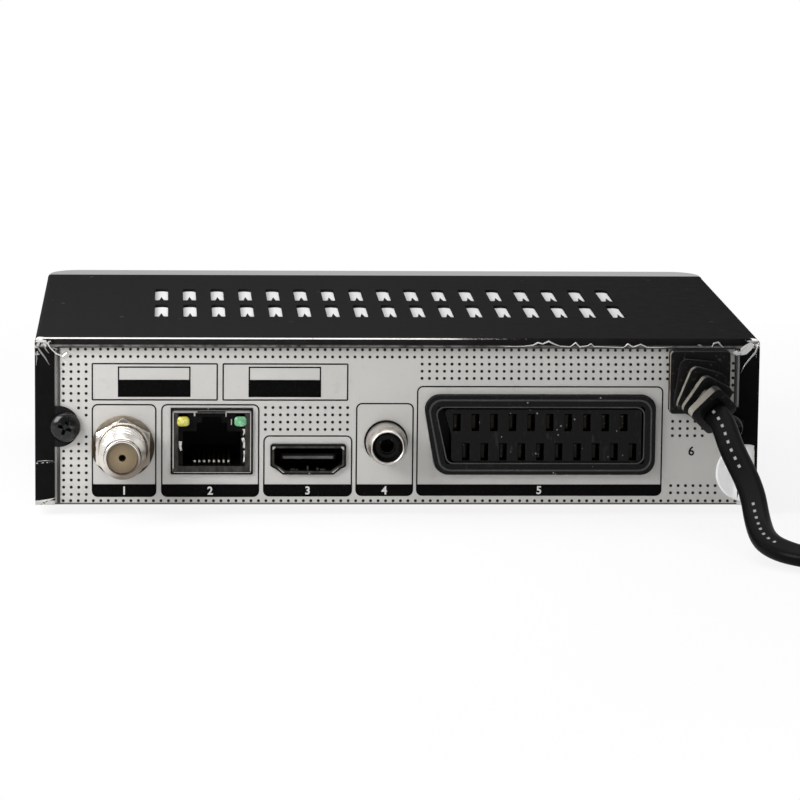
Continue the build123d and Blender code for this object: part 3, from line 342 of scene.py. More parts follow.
def fleece():
    """White filter fleece: matted fibres that run every way."""
    paint = Paint("fleece")
    fibres = (paint.noise(2.5, 5.0, (1.0, 0.15, 1.0)) + paint.noise(2.5, 5.0, (0.15, 1.0, 1.0))) * 0.5
    soil = paint.noise(0.08, 4.0).ramp(0.55, 0.8) * 0.15
    white = paint.mix(fibres, grey(0.72, 0.01), grey(0.9))
    return paint.surface(
        Base_Color=paint.mix(soil, white, grey(0.4, 0.08)),
        Roughness=0.85 + fibres * 0.1,
        Sheen_Weight=0.3,
        Normal=paint.bump(fibres, 0.12, 0.8),
    )


def rubber(name, level=0.02, gloss=0.55):
    """Matt black rubber with a fine skin, lint and scuffs."""
    paint = Paint(name)
    skin = paint.noise(4.0, 3.0)
    lint = paint.noise(1.6, 2.0, (1.0, 0.1, 1.0)).ramp(0.7, 0.76) * 0.35
    scuff = paint.noise(0.3, 4.0).ramp(0.6, 0.8) * 0.4
    return paint.surface(
        Base_Color=paint.mix(lint.either(scuff * 0.5), grey(level, 0.02), grey(level * 3 + 0.015, 0.04)),
        Roughness=gloss + scuff * 0.2,
        Specular_IOR_Level=0.2,
        Normal=paint.bump(skin, 0.02, 0.4),
    )


def relief_rubber_painted_glare():
    """The strain relief: black, with a painted highlight on its ribs' sides that face +X and up, most on the
    last rib, and a little lint.
    """
    paint = Paint("relief_rubber_painted_glare")
    across, out, up = paint.normal()
    patch = paint.noise(0.5, 3.0)
    # Painted highlight on the ribs' faces turned towards +X and up; the last rib takes the most.
    sides = (across * 0.75 + up * 0.35 - out * 0.3).ramp(0.3, 0.62) * (out > 0.2)
    sides = sides * (paint.y > PANEL_Y + 1.6)
    last = sides * (paint.y > RELIEF_HIGH.y - 3.2)
    painted_glare = (sides * 0.55 * patch.ramp(0.1, 0.5)).either(last * patch.ramp(0.1, 0.4))
    lint = paint.noise(1.3, 3.0, (1.0, 0.15, 1.0)).ramp(0.62, 0.72) * 0.12
    return paint.surface(
        Base_Color=paint.mix(painted_glare.either(lint), grey(0.005, 0.02), (0.38, 0.35, 0.3, 1.0)),
        Roughness=0.45 + patch * 0.15,
        Specular_IOR_Level=0.12,
        Normal=paint.bump(patch, 0.03, 0.3),
    )


def lead_jacket():
    """The lead's glossy black jacket, with groups of plain white ticks printed along one flat face."""
    paint = Paint("lead_jacket")
    along, around, _ = paint.split(paint.node("ShaderNodeUVMap", {"uv_map": "along"}))
    length = along * LEAD_LENGTH
    tick = inside(length.remainder(2.3), 0.6, 1.4, 0.08) * (length.remainder(27.0) < 18.0)
    tick = tick * inside(around, 0.435, 0.462, 0.003)
    scuff = paint.noise(0.3, 4.0).ramp(0.6, 0.8)
    skin = paint.noise(2.0, 2.0)
    black = paint.mix(scuff * 0.25, grey(0.004), grey(0.03, 0.04))
    return paint.surface(
        Base_Color=paint.mix(tick * 0.8, black, grey(0.42)),
        Roughness=0.34 + scuff * 0.2,
        Specular_IOR_Level=0.01,
        Coat_Weight=0.06 - scuff * 0.05,
        Coat_Roughness=0.25,
        Normal=paint.bump(skin, 0.01, 0.3),
    )


def gloss_black(name, level=0.009):
    """Polished black moulding with hairline scratches and a little dust."""
    paint = Paint(name)
    hair = paint.noise(2.4, 2.0, (0.04, 1.0, 1.6)).ramp(0.68, 0.74) * 0.4
    dust = paint.noise(0.7, 4.0).ramp(0.58, 0.8)
    flow = paint.noise(0.06, 2.0)
    return paint.surface(
        Base_Color=paint.mix(dust * 0.2, grey(level), grey(0.05, 0.03)),
        Roughness=0.1 + hair * 0.3 + dust * 0.12,
        Specular_IOR_Level=0.2,
        Normal=paint.bump(flow, 0.05, 0.2),
    )


def matt_plastic(name, level=0.02, tint=0.0, rough=0.5, gleam=0.3):
    """Spark-eroded moulding: an even fine grain, rubbed smooth here and there."""
    paint = Paint(name)
    grain = paint.noise(5.0, 2.0)
    rubbed = paint.noise(0.2, 3.0).ramp(0.45, 0.75)
    return paint.surface(
        Base_Color=paint.mix(rubbed, grey(level, tint), grey(level * 1.5 + 0.004, tint)),
        Roughness=rough - rubbed * 0.14,
        Specular_IOR_Level=gleam,
        Normal=paint.bump(grain, 0.02, 0.4),
    )


def scuffed_socket():
    """Socket moulding: black, with pale nicks and streaks where plugs have rubbed it."""
    paint = Paint("scuffed_socket")
    nicks = paint.cells(0.6).ramp(0.07, 0.12, 1.0, 0.0) * (paint.noise(0.3, 2.0) > 0.48)
    rubs = paint.noise(1.4, 4.0, (1.0, 1.0, 0.25)).ramp(0.62, 0.74)
    grain = paint.noise(4.0, 2.0)
    black = paint.mix(rubs * 0.35, grey(0.004, 0.03), grey(0.05, 0.03))
    return paint.surface(
        Base_Color=paint.mix(nicks * 0.8, black, grey(0.3, 0.02)),
        Roughness=0.34 - rubs * 0.1,
        Specular_IOR_Level=0.12,
        Normal=paint.bump(grain, 0.02, 0.4),
    )


def smoked_window():
    """Dark acrylic over the display, with dust and a few hairlines; its figures glow through."""
    paint = Paint("smoked_window")
    hair = paint.noise(1.2, 2.0, (0.03, 1.0, 1.4)).ramp(0.74, 0.78) * 0.2
    dust = paint.noise(0.9, 4.0).ramp(0.6, 0.8)
    return paint.surface(
        Base_Color=paint.mix(dust * 0.2, (0.008, 0.004, 0.004, 1.0), grey(0.06)),
        Roughness=0.06 + hair + dust * 0.1,
        Specular_IOR_Level=0.4,
        Alpha=0.55 + dust * 0.15,
    )


# ------------------------------------------------------------------ finishes of sockets
def bright_nickel(name, tint=0.035, rough=0.15, shade_centre=None):
    """Nickel plate with faint rings round the Y axis and random dull spots; given a place, painted shade
    makes it browner below that place and towards -X of it.
    """
    paint = Paint(name)
    rings = paint.noise(2.0, 2.0, (0.15, 1.6, 0.15))
    tarnish_and_shade = paint.noise(0.35, 3.0).ramp(0.5, 0.85)
    if shade_centre:
        # Painted shade: browner below the given place and towards -X of it.
        low = (shade_centre.z - paint.z) * 0.13 + (shade_centre.x - paint.x) * 0.09
        low = low + paint.noise(0.4, 2.0) * 0.25 + 0.17
        tarnish_and_shade = (tarnish_and_shade * 0.5).either(low.ramp(0.2, 0.8))
    nickel = paint.mix(tarnish_and_shade, (0.74, 0.7, 0.65, 1.0), (0.13, 0.1, 0.07, 1.0))
    return paint.surface(
        Base_Color=paint.mix(rings * 0.2, nickel, grey(0.8, tint)),
        Metallic=1.0,
        Roughness=rough + tarnish_and_shade * 0.12,
        Normal=paint.bump(rings, 0.004, 0.3),
    )


def aged_washer_top_lit():
    """Brown-grey plating that has dulled, with painted light that makes it lighter towards its top."""
    paint = Paint("aged_washer_top_lit")
    spots = paint.noise(1.2, 4.0)
    # Painted light: lighter towards the top, darker below.
    high = (paint.z - AERIAL.z).ramp(1.0, 6.0)
    brown = paint.mix(high, (0.05, 0.038, 0.026, 1.0), (0.42, 0.36, 0.29, 1.0))
    return paint.surface(
        Base_Color=paint.mix(spots.ramp(0.5, 0.8) * 0.5, brown, (0.08, 0.06, 0.04, 1.0)),
        Metallic=0.9,
        Roughness=0.34 + spots * 0.16,
        Normal=paint.bump(spots, 0.02, 0.3),
    )


def tinned_shell():
    """Tinned sheet of the sockets' screens, smeared and a little dull."""
    paint = Paint("tinned_shell")
    smear = paint.noise(0.7, 4.0, (1.0, 0.3, 1.0))
    spots = paint.noise(1.8, 3.0).ramp(0.62, 0.75)
    tin = paint.mix(smear, grey(0.38, 0.02), grey(0.62, 0.02))
    return paint.surface(
        Base_Color=paint.mix(spots * 0.4, tin, grey(0.22, 0.05)),
        Metallic=0.9,
        Roughness=0.28 + smear * 0.16,
        Normal=paint.bump(smear, 0.02, 0.3),
    )


def shaded_shell():
    """The same sheet as a shaded copy: painted shade in dark grey-brown, faintly streaked."""
    return two_tone(
        "shaded_shell", (0.9, 4.0, (1.0, 0.3, 0.4)), ((0.022, 0.02, 0.016, 1.0), (0.06, 0.057, 0.05, 1.0)),
        (0.4, 0.15), (0.35, 0.7), (0.02, 0.3), Metallic=0.4, Specular_IOR_Level=0.3,
    )


def pale_metal():
    """Pale tinned metal of the springs, and of the contact tips, where the paleness over their gilt is a
    painted highlight.
    """
    return two_tone(
        "pale_metal", (1.6, 3.0), ((0.3, 0.28, 0.24, 1.0), (0.8, 0.78, 0.74, 1.0)),
        (0.3, 0.1), (0.35, 0.65), Metallic=0.3,
    )


def gilt():
    return two_tone(
        "gilt_contacts", (1.5, 3.0, (1.0, 0.2, 1.0)), ((0.72, 0.55, 0.28, 1.0), (0.88, 0.76, 0.5, 1.0)),
        (0.2, 0.15), Metallic=1.0,
    )


def insulator():
    """The aerial socket's tan disc, with a painted highlight in a pale ring round its middle hole, and darker
    towards its rim.
    """
    paint = Paint("insulator")
    distance = paint.distance((AERIAL.x, AERIAL_TIP_Y, AERIAL.z))
    grain = paint.noise(1.4, 3.0)
    tan = paint.mix(distance.ramp(1.0, 3.0), (0.2, 0.15, 0.085, 1.0), (0.13, 0.095, 0.055, 1.0))
    # Painted highlight: a pale ring round the middle hole.
    tan = paint.mix(distance.ramp(0.75, 1.0, 1.0, 0.0), tan, (0.42, 0.32, 0.2, 1.0))
    return paint.surface(
        Base_Color=paint.mix(grain * 0.25, tan, (0.2, 0.15, 0.09, 1.0)),
        Specular_IOR_Level=0.3,
        Roughness=0.3 + grain * 0.15,
        Coat_Weight=0.25 * grain,
        Normal=paint.bump(grain, 0.02, 0.3),
    )


def signal_lights():
    """Cloudy tinted resin: one light yellow, the other green."""
    paint = Paint("signal_lights")
    yellow = paint.x > NETWORK.x
    cloud = paint.noise(1.2, 2.0)
    colour = paint.mix(yellow, (0.12, 0.36, 0.16, 1.0), (0.55, 0.44, 0.03, 1.0))
    pale = paint.mix(yellow, (0.35, 0.62, 0.42, 1.0), (0.78, 0.7, 0.2, 1.0))
    return paint.surface(
        Base_Color=paint.mix(cloud.ramp(0.45, 0.7), colour, pale),
        Roughness=0.18 + cloud * 0.1,
        Subsurface_Weight=0.2,
        Coat_Weight=0.4 + cloud * 0.1,
    )


# ------------------------------------------------------------------ finishes inside the case
def circuit_board():
    """Green solder mask over copper tracks, with tinned pads."""
    paint = Paint("circuit_board")
    across = abs((paint.x / 1.9).remainder(1.0) - 0.5)
    along = abs((paint.y / 1.9).remainder(1.0) - 0.5)
    bend = paint.noise(0.09, 1.0) > 0.5
    track = (across < 0.17) * bend + (along < 0.17) * (1 - bend)
    pads = paint.cells(0.42).ramp(0.16, 0.2, 1.0, 0.0)
    mask = paint.mix(track, (0.008, 0.07, 0.03, 1.0), (0.02, 0.14, 0.06, 1.0))
    solder = paint.mix(pads, mask, grey(0.55, 0.02))
    return paint.surface(
        Base_Color=solder,
        Metallic=pads * 0.9,
        Roughness=0.35 - pads * 0.1,
        Normal=paint.bump(track.either(pads), 0.05, 0.6),
    )


def shrink_sleeve():
    """Blue-black capacitor sleeves with a pale stripe and bare aluminium tops."""
    paint = Paint("shrink_sleeve")
    across, _, up = paint.normal()
    bare = up.ramp(0.8, 0.9)
    stripe = (across > 0.8) * (1 - bare)
    brushed = paint.noise(1.5, 3.0)
    sleeve = paint.mix(stripe, (0.012, 0.018, 0.05, 1.0), grey(0.4))
    return paint.surface(
        Base_Color=paint.mix(bare, sleeve, paint.mix(brushed, grey(0.5), grey(0.75))),
        Metallic=bare,
        Roughness=0.3 + brushed * 0.1,
        Normal=paint.bump(brushed, 0.01, 0.3),
    )


def wound_core():
    """Grey ferrite, with yellow tape round its windings."""
    paint = Paint("wound_core")
    tape = inside(paint.z, BASE_Z + 10.2, BASE_Z + 20.6, 0.2)
    wraps = abs((paint.z / 1.6).remainder(1.0) - 0.5)
    grain = paint.noise(1.6, 4.0)
    yellow = paint.mix(wraps * 0.6, (0.6, 0.42, 0.06, 1.0), (0.4, 0.27, 0.04, 1.0))
    return paint.surface(
        Base_Color=paint.mix(tape, paint.mix(grain, grey(0.02), grey(0.06)), yellow),
        Roughness=0.6 - tape * 0.25,
        Normal=paint.bump(grain, 0.04, 0.5),
    )


def fuse_glass():
    """Plated caps at both ends of a clear tube."""
    paint = Paint("fuse_glass")
    cap = abs(paint.y - middle("fuse").y) > 4.8
    smudge = paint.noise(1.0, 3.0)
    return paint.surface(
        Base_Color=paint.mix(cap, grey(0.75, -0.02), grey(0.6, 0.02)),
        Metallic=cap,
        Roughness=0.06 + cap * 0.2 + smudge * 0.08,
        Alpha=0.35 + cap * 0.65,
    )


def inner_leads():
    """Coloured insulation: each core of the looms has its own colour."""
    paint = Paint("inner_leads")
    number = (paint.y + 15.0) / 2.4
    colours = [
        (0.0, (0.3, 0.02, 0.02, 1.0)), (0.3, (0.5, 0.4, 0.03, 1.0)),
        (0.6, (0.03, 0.03, 0.03, 1.0)), (1.0, (0.03, 0.1, 0.35, 1.0)),
    ]
    core = number.math("FLOOR", number).ramp(0.0, 6.0)
    wheel = paint.node("ShaderNodeValToRGB", {"stops": colours}, {0: core})
    skin = paint.noise(2.0, 3.0)
    return paint.surface(
        Base_Color=paint.mix(skin * 0.2, wheel, grey(0.3)),
        Roughness=0.38 + skin * 0.12,
        Normal=paint.bump(skin, 0.02, 0.3),
    )


def fibre_paper():
    return two_tone(
        "fibre_paper", (1.8, 5.0, (1.0, 0.3, 1.0)), ((0.3, 0.29, 0.26, 1.0), (0.46, 0.45, 0.41, 1.0)),
        (0.7, 0.1), bump=(0.03, 0.5),
    )


def finish_nodes():
    """Gives every CAD node its finish, by the record's material slots."""
    finishes = {
        "painted_steel": lid_paint(),
        "zinc_steel": zinc_plate("zinc_sheet"),
        "silver_panel": panel_lacquer(),
        "black_screws": screw_black(),
        "zinc_screws": zinc_plate("zinc_fastener", 0.04, 0.05),
        "white_fleece": fleece(),
        "foot_rubber": rubber("foot_rubber", 0.02, 0.7),
        "bezel_plastic": gloss_black("bezel_gloss"),
        "smoked_window": smoked_window(),
        "key_plastic": gloss_black("key_gloss", 0.02),
        "switch_plastic": matt_plastic("switch_plastic", 0.03),
        "green_board": circuit_board(),
        "dark_plastic": scuffed_socket(),
        "socket_shell": tinned_shell(),
        "white_plastic": matt_plastic("port_tongue_white", 0.45, 0.01),
        "gold_contacts": gilt(),
        "signal_lights": signal_lights(),
        "nickel": bright_nickel("bright_nickel"),
        "tan_insulator": insulator(),
        "black_aluminium": matt_plastic("black_anodised", 0.03, 0.0, 0.4),
        "capacitor_sleeve": shrink_sleeve(),
        "wound_core": wound_core(),
        "fuse_glass": fuse_glass(),
        "inner_leads": inner_leads(),
        "fish_paper": fibre_paper(),
        "lead_rubber": lead_jacket(),
        "tie_strap": strap_weave(),
        "brass_pins": bright_nickel("plated_pins", 0.02, 0.18),
    }
    # The sockets' deep contacts take a nearly black copy of contact metal: painted shade.
    deep_contact = shaded_contact_metal("deep_contact")
    # Near-black paint that stands for the shade deep in the sockets: on the network insert and on the video
    # socket's shell and tongue.
    cavity_shade = matt_plastic("cavity_black", 0.002, 0.03, 0.5, 0.06)
    single = {
        "aerial_washer": aged_washer_top_lit(),
        "plug_body": rubber("plug_rubber", 0.016, 0.5),
        "strain_relief": relief_rubber_painted_glare(),
    }
    sprung = ("aerial_contact", "av_contacts", "coax_contact", "network_contacts")
    single |= dict.fromkeys(sprung, deep_contact)
    single |= dict.fromkeys(("network_insert", "video_shell", "video_tongue"), cavity_shade)
    for part in frame["record"]["subparts"]:
        materials = frame["nodes"][part["node"]].data.materials
        materials.clear()
        materials.append(single.get(part["node"], finishes[part["material_slot"]]))
    return finishes


def shaded_contact_metal(name):
    """Contact springs deep in a socket, dull and nearly black as painted shade, with bright rubbed spots."""
    paint = Paint(name)
    rubbed = paint.noise(2.2, 3.0).ramp(0.66, 0.74)
    return paint.surface(
        Base_Color=paint.mix(rubbed, (0.02, 0.017, 0.012, 1.0), (0.3, 0.27, 0.2, 1.0)),
        Metallic=0.5,
        Roughness=0.45 - rubbed * 0.2,
        Specular_IOR_Level=0.1,
    )


def strap_weave():
    """Black hook-and-loop strap: crossed ribs along and across."""
    paint = Paint("strap_weave")
    ribs = abs((paint.x / 0.9).remainder(1.0) - 0.5)
    ribs = ribs + abs(((paint.y + paint.z) / 0.9).remainder(1.0) - 0.5)
    fuzz = paint.noise(4.0, 4.0)
    return paint.surface(
        Base_Color=paint.mix(fuzz.ramp(0.3, 0.7) * ribs, grey(0.004), grey(0.05, 0.02)),
        Roughness=0.75 + fuzz * 0.1,
        Sheen_Weight=0.05,
        Specular_IOR_Level=0.15,
        Normal=paint.bump(ribs * 0.5 + fuzz * 0.3, 0.4, 1.0),
    )


# ------------------------------------------------------------------ mesh words
def piece(name, points, faces, material, body=ROOT, smooth=False):
    """A mesh from points in mm, in the shared frame, that rides on a body."""
    mesh = bpy.data.meshes.new(name)
    mesh.from_pydata([Vector(p) * MM for p in points], [], faces)
    mesh.validate()
    face_outwards(mesh)
    if smooth:
        mesh.polygons.foreach_set("use_smooth", [True] * len(mesh.polygons))
    mesh.materials.append(material)
    made = placed(name, mesh)
    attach(made, body)
    return made


def placed(name, data):
    """A new object in the scene."""
    made = bpy.data.objects.new(name, data)
    bpy.context.scene.collection.objects.link(made)
    return made


def face_outwards(mesh):
    work = bmesh.new()
    work.from_mesh(mesh)
    bmesh.ops.recalc_face_normals(work, faces=work.faces)
    work.to_mesh(mesh)
    work.free()


def crisp(made, degrees):
    """Keeps edges sharper than an angle sharp on a smooth piece."""
    made.data.set_sharp_from_angle(angle=math.radians(degrees))


def on_circle(x, z, r, turn):
    """The point at radius r and an angle in radians."""
    return x + r * math.cos(turn), z + r * math.sin(turn)


def bands(count, rows, closed=False):
    """Faces that join rows of count points, each row a loop; closed joins the last row to the first."""
    faces = []
    for a in range(rows if closed else rows - 1):
        b = (a + 1) % rows
        for i in range(count):
            j = (i + 1) % count
            faces.append((a * count + i, a * count + j, b * count + j, b * count + i))
    return faces


def fan(count, first, centre):
    """Faces from a loop of count points to its centre."""
    return [(first + i, first + (i + 1) % count, centre) for i in range(count)]


class Shapes:
    """Points and faces gathered for one piece."""

    def __init__(self):
        self.points = []
        self.faces = []

    def add(self, points, faces):
        first = len(self.points)
        self.points += points
        self.faces += [tuple(first + i for i in face) for face in faces]

    def loft(self, sections):
        """Skins sections that have as many points each, and closes both ends."""
        count, rows = len(sections[0]), len(sections)
        ends = [tuple(range(count))[::-1], tuple(range(count * (rows - 1), count * rows))]
        self.add([point for section in sections for point in section], ends + bands(count, rows))

    def plate(self, outline, y0, y1):
        """A flat plate from an outline of (x, z) points."""
        self.loft([[(x, y, z) for x, z in outline] for y in (y0, y1)])

    def ring(self, outer, inner, y0, y1):
        """A flat ring between two outlines that have as many points each."""
        rows = ((outer, y0), (inner, y0), (inner, y1), (outer, y1))
        self.add([(x, y, z) for line, y in rows for x, z in line], bands(len(outer), 4, closed=True))

    def turned(self, profile, x, z, steps, shape=None):
        """A closed profile of (y, r) turned round an axis along Y; shape may change r by y and turn."""
        points = []
        for k in range(steps):
            turn = k / steps
            for y, r in profile:
                r = shape(y, r, turn) if shape else r
                around = 2 * math.pi * turn
                points.append((x + r * math.sin(around), y, z + r * math.cos(around)))
        self.add(points, bands(len(profile), steps, closed=True))

    def dome(self, outline, x, z, y, bulge, rows=6):
        """A crowned lens over an outline, with its rim at y and bulging towards +Y."""
        n = len(outline)
        points = [(px, y - 0.6, pz) for px, pz in outline]
        for row in range(rows):
            t = row / rows
            shrink, rise = 1 - t * t, bulge * math.sin(math.pi / 2 * t)
            points += [(x + (px - x) * shrink, y + rise, z + (pz - z) * shrink) for px, pz in outline]
        points.append((x, y + bulge, z))
        faces = [*bands(n, rows + 1), *fan(n, rows * n, len(points) - 1), tuple(range(n))[::-1]]
        self.add(points, faces)

    def strip(self, line, y, lift):
        """A torn ridge along (x, z, width) points on the plane y, lift mm high."""
        sections = []
        for i, (x, z, width) in enumerate(line):
            ax, az, _ = line[max(i - 1, 0)]
            bx, bz, _ = line[min(i + 1, len(line) - 1)]
            run = math.hypot(bx - ax, bz - az)
            nx, nz = -(bz - az) / run * width / 2, (bx - ax) / run * width / 2
            sections.append([(x + nx, y, z + nz), (x, y + lift, z), (x - nx, y, z - nz)])
        self.loft(sections)

    def make(self, name, material, slot, body=ROOT, smooth=False):
        return piece(name, self.points, self.faces, material, body, smooth)

    def stand_in(self, name, material, slot, node, sharp=None):
        """A smooth piece that is drawn in place of a CAD node."""
        made = self.make(name, material, slot, smooth=True)
        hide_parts(node)
        if sharp:
            crisp(made, sharp)


def box_outline(x, z, w, h, r, steps=5):
    """A rounded rectangle, counter-clockwise as seen from the back, where +X is to the left."""
    points = []
    for corner, (sx, sz) in enumerate(((-1, 1), (1, 1), (1, -1), (-1, -1))):
        cx, cz = x + sx * (w / 2 - r), z + sz * (h / 2 - r)
        for i in range(steps + 1):
            points.append(on_circle(cx, cz, r, math.radians(180 - 90 * corner - 90 * i / steps)))
    return points


def box_between(left, right, top, low, r, steps=5):
    return box_outline((left + right) / 2, (top + low) / 2, abs(left - right), top - low, r, steps)


def disc_outline(x, z, r, count):
    return [on_circle(x, z, r, math.pi - 2 * math.pi * i / count) for i in range(count)]


# ------------------------------------------------------------------ mains lead
LEAD_W = 5.2
LEAD_T = 3.2
LEAD_LENGTH = 1500.0
GROOVE = 0.16  # depth of the groove between the two cores
COIL_STEPS = 16  # control points to a turn
COIL_LAST = 8 * COIL_STEPS + 2
COIL_PITCH = 3.5
COIL_OUT = 34.6  # middle of the outermost turn
LAYER_Z, LAYER_RISE = 3.2, 5.3  # middle of the lower layer, and from there to the upper one
LIFT_OFF = 1.05  # rise of each of the last steps, off the coil towards the plug
PLUG_WAY_Z = LAYER_Z + LAYER_RISE + 4 * LIFT_OFF
OUTSIDE = 1.02  # how far outside an arc the points that control it lie
FACE_AT_RELIEF = Vector((0.32, 0.9, 0.3))  # where the lead's flat face looks at first
TO_FLOOR, TO_EDGE = (20.0, 45.0), (78.0, 40.0)  # start and run of the face's turn up, and on edge
OFF_EDGE = (28.0, 22.0)  # the same for its last turn up, with the start from the far end
LEAD_ROUTE = [  # listed, from the relief to the coil
    Vector((x, PANEL_Y + y, z)) for x, y, z in (
        (-63.3, 13.4, 23.5), (-64.7, 16.2, 22.0), (-65.6, 22.4, 17.6), (-68.7, 31.3, 11.2),
        (-68.7, 40.4, 5.9), (-69.2, 48.4, 3.6), (-72.8, 55.2, 2.8), (-79.1, 60.1, 2.5),
        (-88.5, 61.9, 2.5), (-102.5, 62.0, 3.0), (-113.5, 61.4, 3.3),
    )
]


def coil_route():
    """Eight turns on edge in two layers: inwards along the floor, then outwards on top."""
    turns = COIL_LAST / COIL_STEPS
    reach = 1 / (0.75 + 0.25 * math.cos(2 * math.pi / COIL_STEPS))
    points = []
    for i in range(1, COIL_LAST + 1):
        turn = i / COIL_STEPS
        r = (COIL_OUT - COIL_PITCH * min(turn, turns - turn)) * reach
        rise = passed(turn, turns / 2 - 0.25, 0.5)
        lift = max(i - COIL_LAST + 4, 0) * LIFT_OFF
        z = LAYER_Z + LAYER_RISE * (rise * rise * (3 - 2 * rise)) + lift
        points.append(Vector((*on_circle(COIL.x, COIL.y, r, math.radians(80) + 2 * math.pi * turn), z)))
    return points


def plug_route():
    """Off the coil's last turn, round inside it and into the plug's tail."""
    tail = Vector((PLUG_LOW.x, COIL.y, (PLUG_LOW.z + PLUG_HIGH.z) / 2))
    r = (COIL_OUT ** 2 - (COIL.x - tail.x) ** 2) / (2 * COIL_OUT)
    points = []
    for degrees, share in ((150, 0.12), (172, 0.35), (194, 0.6), (216, 0.82), (237, 0.96), (256, 1.0)):
        x, y = on_circle(tail.x, tail.y + r, r * OUTSIDE, math.radians(degrees))
        points.append(Vector((x, y, PLUG_WAY_Z + (tail.z - PLUG_WAY_Z) * share)))
    return points + [tail + Vector((1.5, 0.0, 0.0))]


def passed(length, start, run):
    """0 as far as start, and from there up to 1 over a run."""
    return min(max((length - start) / run, 0.0), 1.0)


def read_curve(curve):
    """The points and faces that a curve comes to; the curve itself goes."""
    holder = bpy.data.objects.new(curve.name, curve)
    mesh = bpy.data.meshes.new_from_object(holder)
    points = [vertex.co.copy() for vertex in mesh.vertices]
    faces = [tuple(face.vertices) for face in mesh.polygons]
    bpy.data.objects.remove(holder)
    bpy.data.curves.remove(curve)
    bpy.data.meshes.remove(mesh)
    return points, faces


def smooth_line(points, resolution):
    """Points along the NURBS line that the given points control."""
    curve = bpy.data.curves.new("lead_line", "CURVE")
    curve.dimensions = "3D"
    curve.resolution_u = resolution
    spline = curve.splines.new("NURBS")
    spline.points.add(len(points) - 1)
    for knot, point in zip(spline.points, points):
        knot.co = (*(point * MM), 1.0)
    spline.order_u = 3
    spline.use_endpoint_u = True
    return [point / MM for point in read_curve(curve)[0]]


def lead_section():
    """Two round cores side by side, with a shallow groove along both flat faces."""
    points = []
    for side in (1, -1):
        for i in range(9):
            a, b = on_circle((LEAD_W - LEAD_T) / 2, 0.0, LEAD_T / 2, math.radians(-90 + 22.5 * i))
            points.append((side * a, side * b))
        points.append((0.0, side * (LEAD_T / 2 - GROOVE)))
    return points


def lead_frames(line):
    """Side and flat normal of each point: outwards at the relief, up on the floor, on edge in the coil."""
    lengths = [0.0]
    for a, b in zip(line, line[1:]):
        lengths.append(lengths[-1] + (b - a).length)
    up = Vector((0, 0, 1))
    frames = []
    for i, length in enumerate(lengths):
        ahead = (line[min(i + 1, len(line) - 1)] - line[max(i - 1, 0)]).normalized()
        radial = Vector((ahead.y, -ahead.x, 0)).normalized()
        wish = FACE_AT_RELIEF.lerp(up, passed(length, *TO_FLOOR)).lerp(radial, passed(length, *TO_EDGE))
        wish = wish.lerp(up, passed(length, lengths[-1] - OFF_EDGE[0], OFF_EDGE[1]))
        normal = (wish - ahead * wish.dot(ahead)).normalized()
        frames.append((ahead.cross(normal), normal))
    return lengths, frames


def mains_lead(material):
    line = smooth_line(LEAD_ROUTE + coil_route() + plug_route(), 5)
    lengths, frames = lead_frames(line)
    section = lead_section()
    count = len(section)
    jacket = Shapes()
    jacket.loft([
        [point + side * a + normal * b for a, b in section] for point, (side, normal) in zip(line, frames)
    ])
    lead = jacket.make("mains_lead", material, "lead_rubber", smooth=True)
    layer = lead.data.uv_layers.new(name="along")
    for face in lead.data.polygons:
        places = [divmod(vertex, count) for vertex in face.vertices]
        seam = max(place for _, place in places) == count - 1
        for corner, (ring, place) in zip(face.loop_indices, places):
            layer.data[corner].uv = (lengths[ring] / LEAD_LENGTH, (place or seam * count) / count)
    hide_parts("power_cord", "cord_coil")
    [point * MM for point in line]


# ------------------------------------------------------------------ relief, strap and plug
BLOCK_W, BLOCK_H = 12.4, 13.0  # the relief's block on the panel
NECK_TURNS = ((6, 27), (3, 24), (0, -40))  # yaw, dip and roll at the block and at the end, in degrees
NECK_FROM, NECK_LONG = 2.6, 10.8
NECK_ASIDE, NECK_DROP = 1.7, 4.3  # how far its end lies to the side of and below its start
NECK_W, NECK_H, NECK_R = 6.2, 5.4, 1.6
RIB_R, RIB_BEVEL = 1.5, 0.5
NECK_RIBS = (  # place along the neck, width, height, thickness and shift to the side
    (0.16, 8.6, 10.6, 1.1, 1.0), (0.44, 8.4, 9.8, 1.2, 0.8),
    (0.71, 8.5, 9.0, 1.3, 0.4), (1.0, 8.6, 8.2, 2.0, 0.0),
)
STRAP_OUT, STRAP_IN, STRAP_T = COIL_OUT + 0.5, COIL_OUT - 15.0, 0.6
STRAP_R = 3.0
FLAP_Z, FLAP_TALL, FLAP_R = 5.4, 7.0, 2.2  # the strap's free end
PLUG_TAIL_HALF, PLUG_TAPER = 7.0, 14.5
GRIPS_FROM = 17.5  # from the plug's face to the first rib
GRIP_STEP = 2.6
GRIP_SECTION = [(-0.7, -0.3), (-0.45, 0.35), (-0.15, 0.5), (0.15, 0.5), (0.45, 0.35), (0.7, -0.3)]


def neck_section(t, w, h, r, back=0.0, shift=0.0):
    """A section of the relief's neck, from its block at t = 0 to its end at 1."""
    yaw, dip, roll = (math.radians(low + (high - low) * t) for low, high in NECK_TURNS)
    ahead = Vector((-math.sin(yaw) * math.cos(dip), math.cos(yaw) * math.cos(dip), -math.sin(dip)))
    side = Matrix.Rotation(roll, 3, ahead) @ Vector((0, 0, 1)).cross(ahead).normalized()
    up = ahead.cross(side)
    sag = t * t * 0.35 + t * 0.65
    place = Vector((RELIEF_X, PANEL_Y + NECK_FROM, RELIEF_Z)) - ahead * back
    place += Vector((-NECK_ASIDE * sag, NECK_LONG * t, -NECK_DROP * sag))
    return [place + side * (u - shift) + up * v for u, v in box_outline(0, 0, w, h, r, 4)]


def block_section(y, inset):
    w, h, r = BLOCK_W - 2 * inset, BLOCK_H - 2.3 * inset, 0.8 + inset * 0.3
    return [(x, y, z) for x, z in box_outline(RELIEF_X, RELIEF_Z, w, h, r)]


